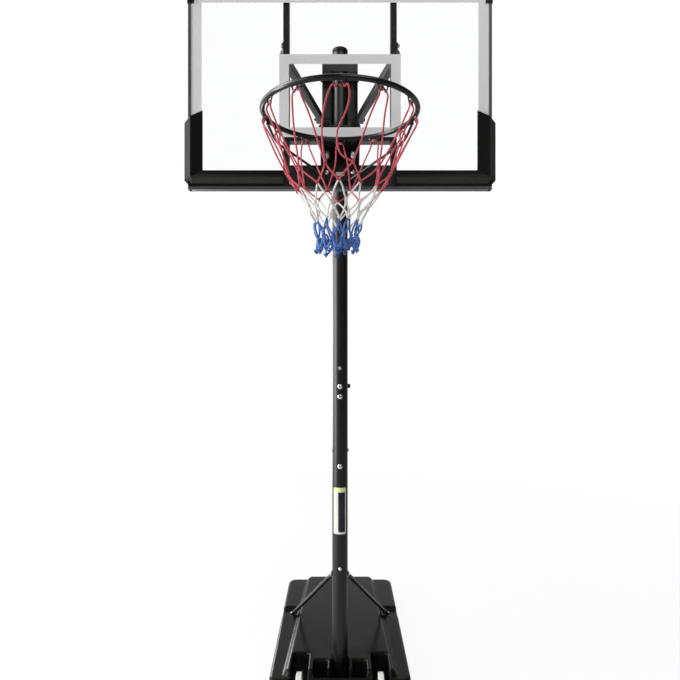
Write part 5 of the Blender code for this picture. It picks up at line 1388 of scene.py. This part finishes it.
# %% [markdown]
# ## Floor, backdrop and light
# A pale floor and a white background, as in a plain studio. The camera sees the world
# white, also through the clear sheet. Reflections see a bright wall on the left and a dim
# one in front, and all other light from the world is an even, low level. The floor is
# mirrored in the same way, brighter the further off it is.

# %% Floor and world
AMBIENT = 0.28
LEFT_WALL = 6.5
FLOOR_MIRROR = 0.6
FLOOR_SIZE = 30
WHITE = (1, 1, 1, 1)


def studio_walls(tree, towards):
    """How bright a direction is in reflections: bright to the left, dim to the front."""
    rearward = add(tree, "VectorMath", {0: towards, 1: (-0.6, 0.8, 0.0)},
                   operation="DOT_PRODUCT").outputs["Value"]
    rear_wall = spread(tree, rearward, -0.3, 0.6, 0.06, 1.0)
    sideways = spread(tree, split(tree, towards)[0], 0.0, -0.95, 0.0, 1.0)
    left_wall = maths(tree, "MULTIPLY", maths(tree, "POWER", sideways, 4.0), LEFT_WALL)
    return maths(tree, "MAXIMUM", rear_wall, left_wall)


def background_level(tree, mirrored, plain):
    """1 where the camera or glass looks, mirrored in a reflection, plain for other light."""
    seen = add(tree, "LightPath").outputs
    turned_back = maths(tree, "GREATER_THAN", seen["Glossy Depth"], 0.5)
    level = chosen(tree, turned_back, 1.0, mirrored)
    looks = maths(tree, "MAXIMUM", seen["Is Camera Ray"],
                  maths(tree, "MAXIMUM", seen["Is Glossy Ray"], seen["Is Transmission Ray"]))
    straight = maths(tree, "LESS_THAN", seen["Diffuse Depth"], 0.5)
    return chosen(tree, maths(tree, "MULTIPLY", straight, looks), plain, level)


floor = show("floor", bpy.data.meshes.new("floor"))
floor.data.from_pydata([(x * FLOOR_SIZE, y * FLOOR_SIZE, 0)
                        for x, y in ((-1, -1), (1, -1), (1, 1), (-1, 1))], [], [(0, 1, 2, 3)])
floor_paint, tree, shader = start_finish("pale_floor", Roughness=0.9,
                                         Base_Color=(0.80, 0.80, 0.80, 1.0))
where = add(tree, "TexCoord").outputs["Object"]
away = add(tree, "VectorMath", {0: where}, operation="LENGTH").outputs["Value"]
outward = add(tree, "VectorMath", {0: where}, operation="NORMALIZE").outputs[0]
mirrored = maths(tree, "MULTIPLY", studio_walls(tree, outward),
                 spread(tree, away, 0.8, 3.0, 0.1, FLOOR_MIRROR))
white = maths(tree, "MULTIPLY", background_level(tree, mirrored, 0.0),
              spread(tree, away, 1.0, 5.0, 0.93, 1.0))
bright = add(tree, "Emission", {"Color": WHITE, "Strength": 1.0})
both = add(tree, "MixShader", {0: white, 1: shader.outputs[0], 2: bright.outputs[0]})
tree.links.new(both.outputs[0], tree.nodes["Material Output"].inputs["Surface"])
floor.data.materials.append(floor_paint)

world = bpy.data.worlds.new("studio")
bpy.context.scene.world = world
world.use_nodes = True
tree = world.node_tree
tree.nodes.clear()
walls = studio_walls(tree, add(tree, "TexCoord").outputs["Generated"])
sky = add(tree, "Background", {"Color": WHITE,
                               "Strength": background_level(tree, walls, AMBIENT)})
add(tree, "OutputWorld", {"Surface": sky.outputs[0]})
print("floor and world ready")

# %% [markdown]
# Four soft lamps do the rest: a tall one on the left makes the long highlights on the
# tubes, a high one on the left and one above the front fill in, and one behind on the left
# gives the edges a rim of light.

# %% Lamps
LAMPS = (  # where it hangs, what it faces, width, height, watts
    ("key", (-3.5, -1.2, 1.5), (0.0, -0.2, 1.4), 1.0, 3.0, 155.0),
    ("high", (-2.7, -1.0, 4.5), (0.0, -0.4, 1.2), 1.2, 1.2, 75.0),
    ("front", (1.2, -3.4, 4.4), (0.0, -0.6, 1.6), 2.2, 2.2, 60.0),
    ("rear", (-2.6, 3.6, 1.5), (0.0, 0.0, 1.0), 1.4, 2.6, 120.0),
)
for name, where, aim, width, height, watts in LAMPS:
    lamp = show(name, bpy.data.lights.new(name, "AREA"))
    lamp.data.shape = "RECTANGLE"
    lamp.data.energy = watts
    lamp.data.size, lamp.data.size_y = width, height
    lamp.location = where
    lamp.rotation_euler = (Vector(aim) - Vector(where)).to_track_quat("-Z", "Y").to_euler()
    lamp.visible_camera = lamp.visible_transmission = False
print("soft lamps:", len(LAMPS))

bpy.context.scene.view_settings.view_transform = "Standard"
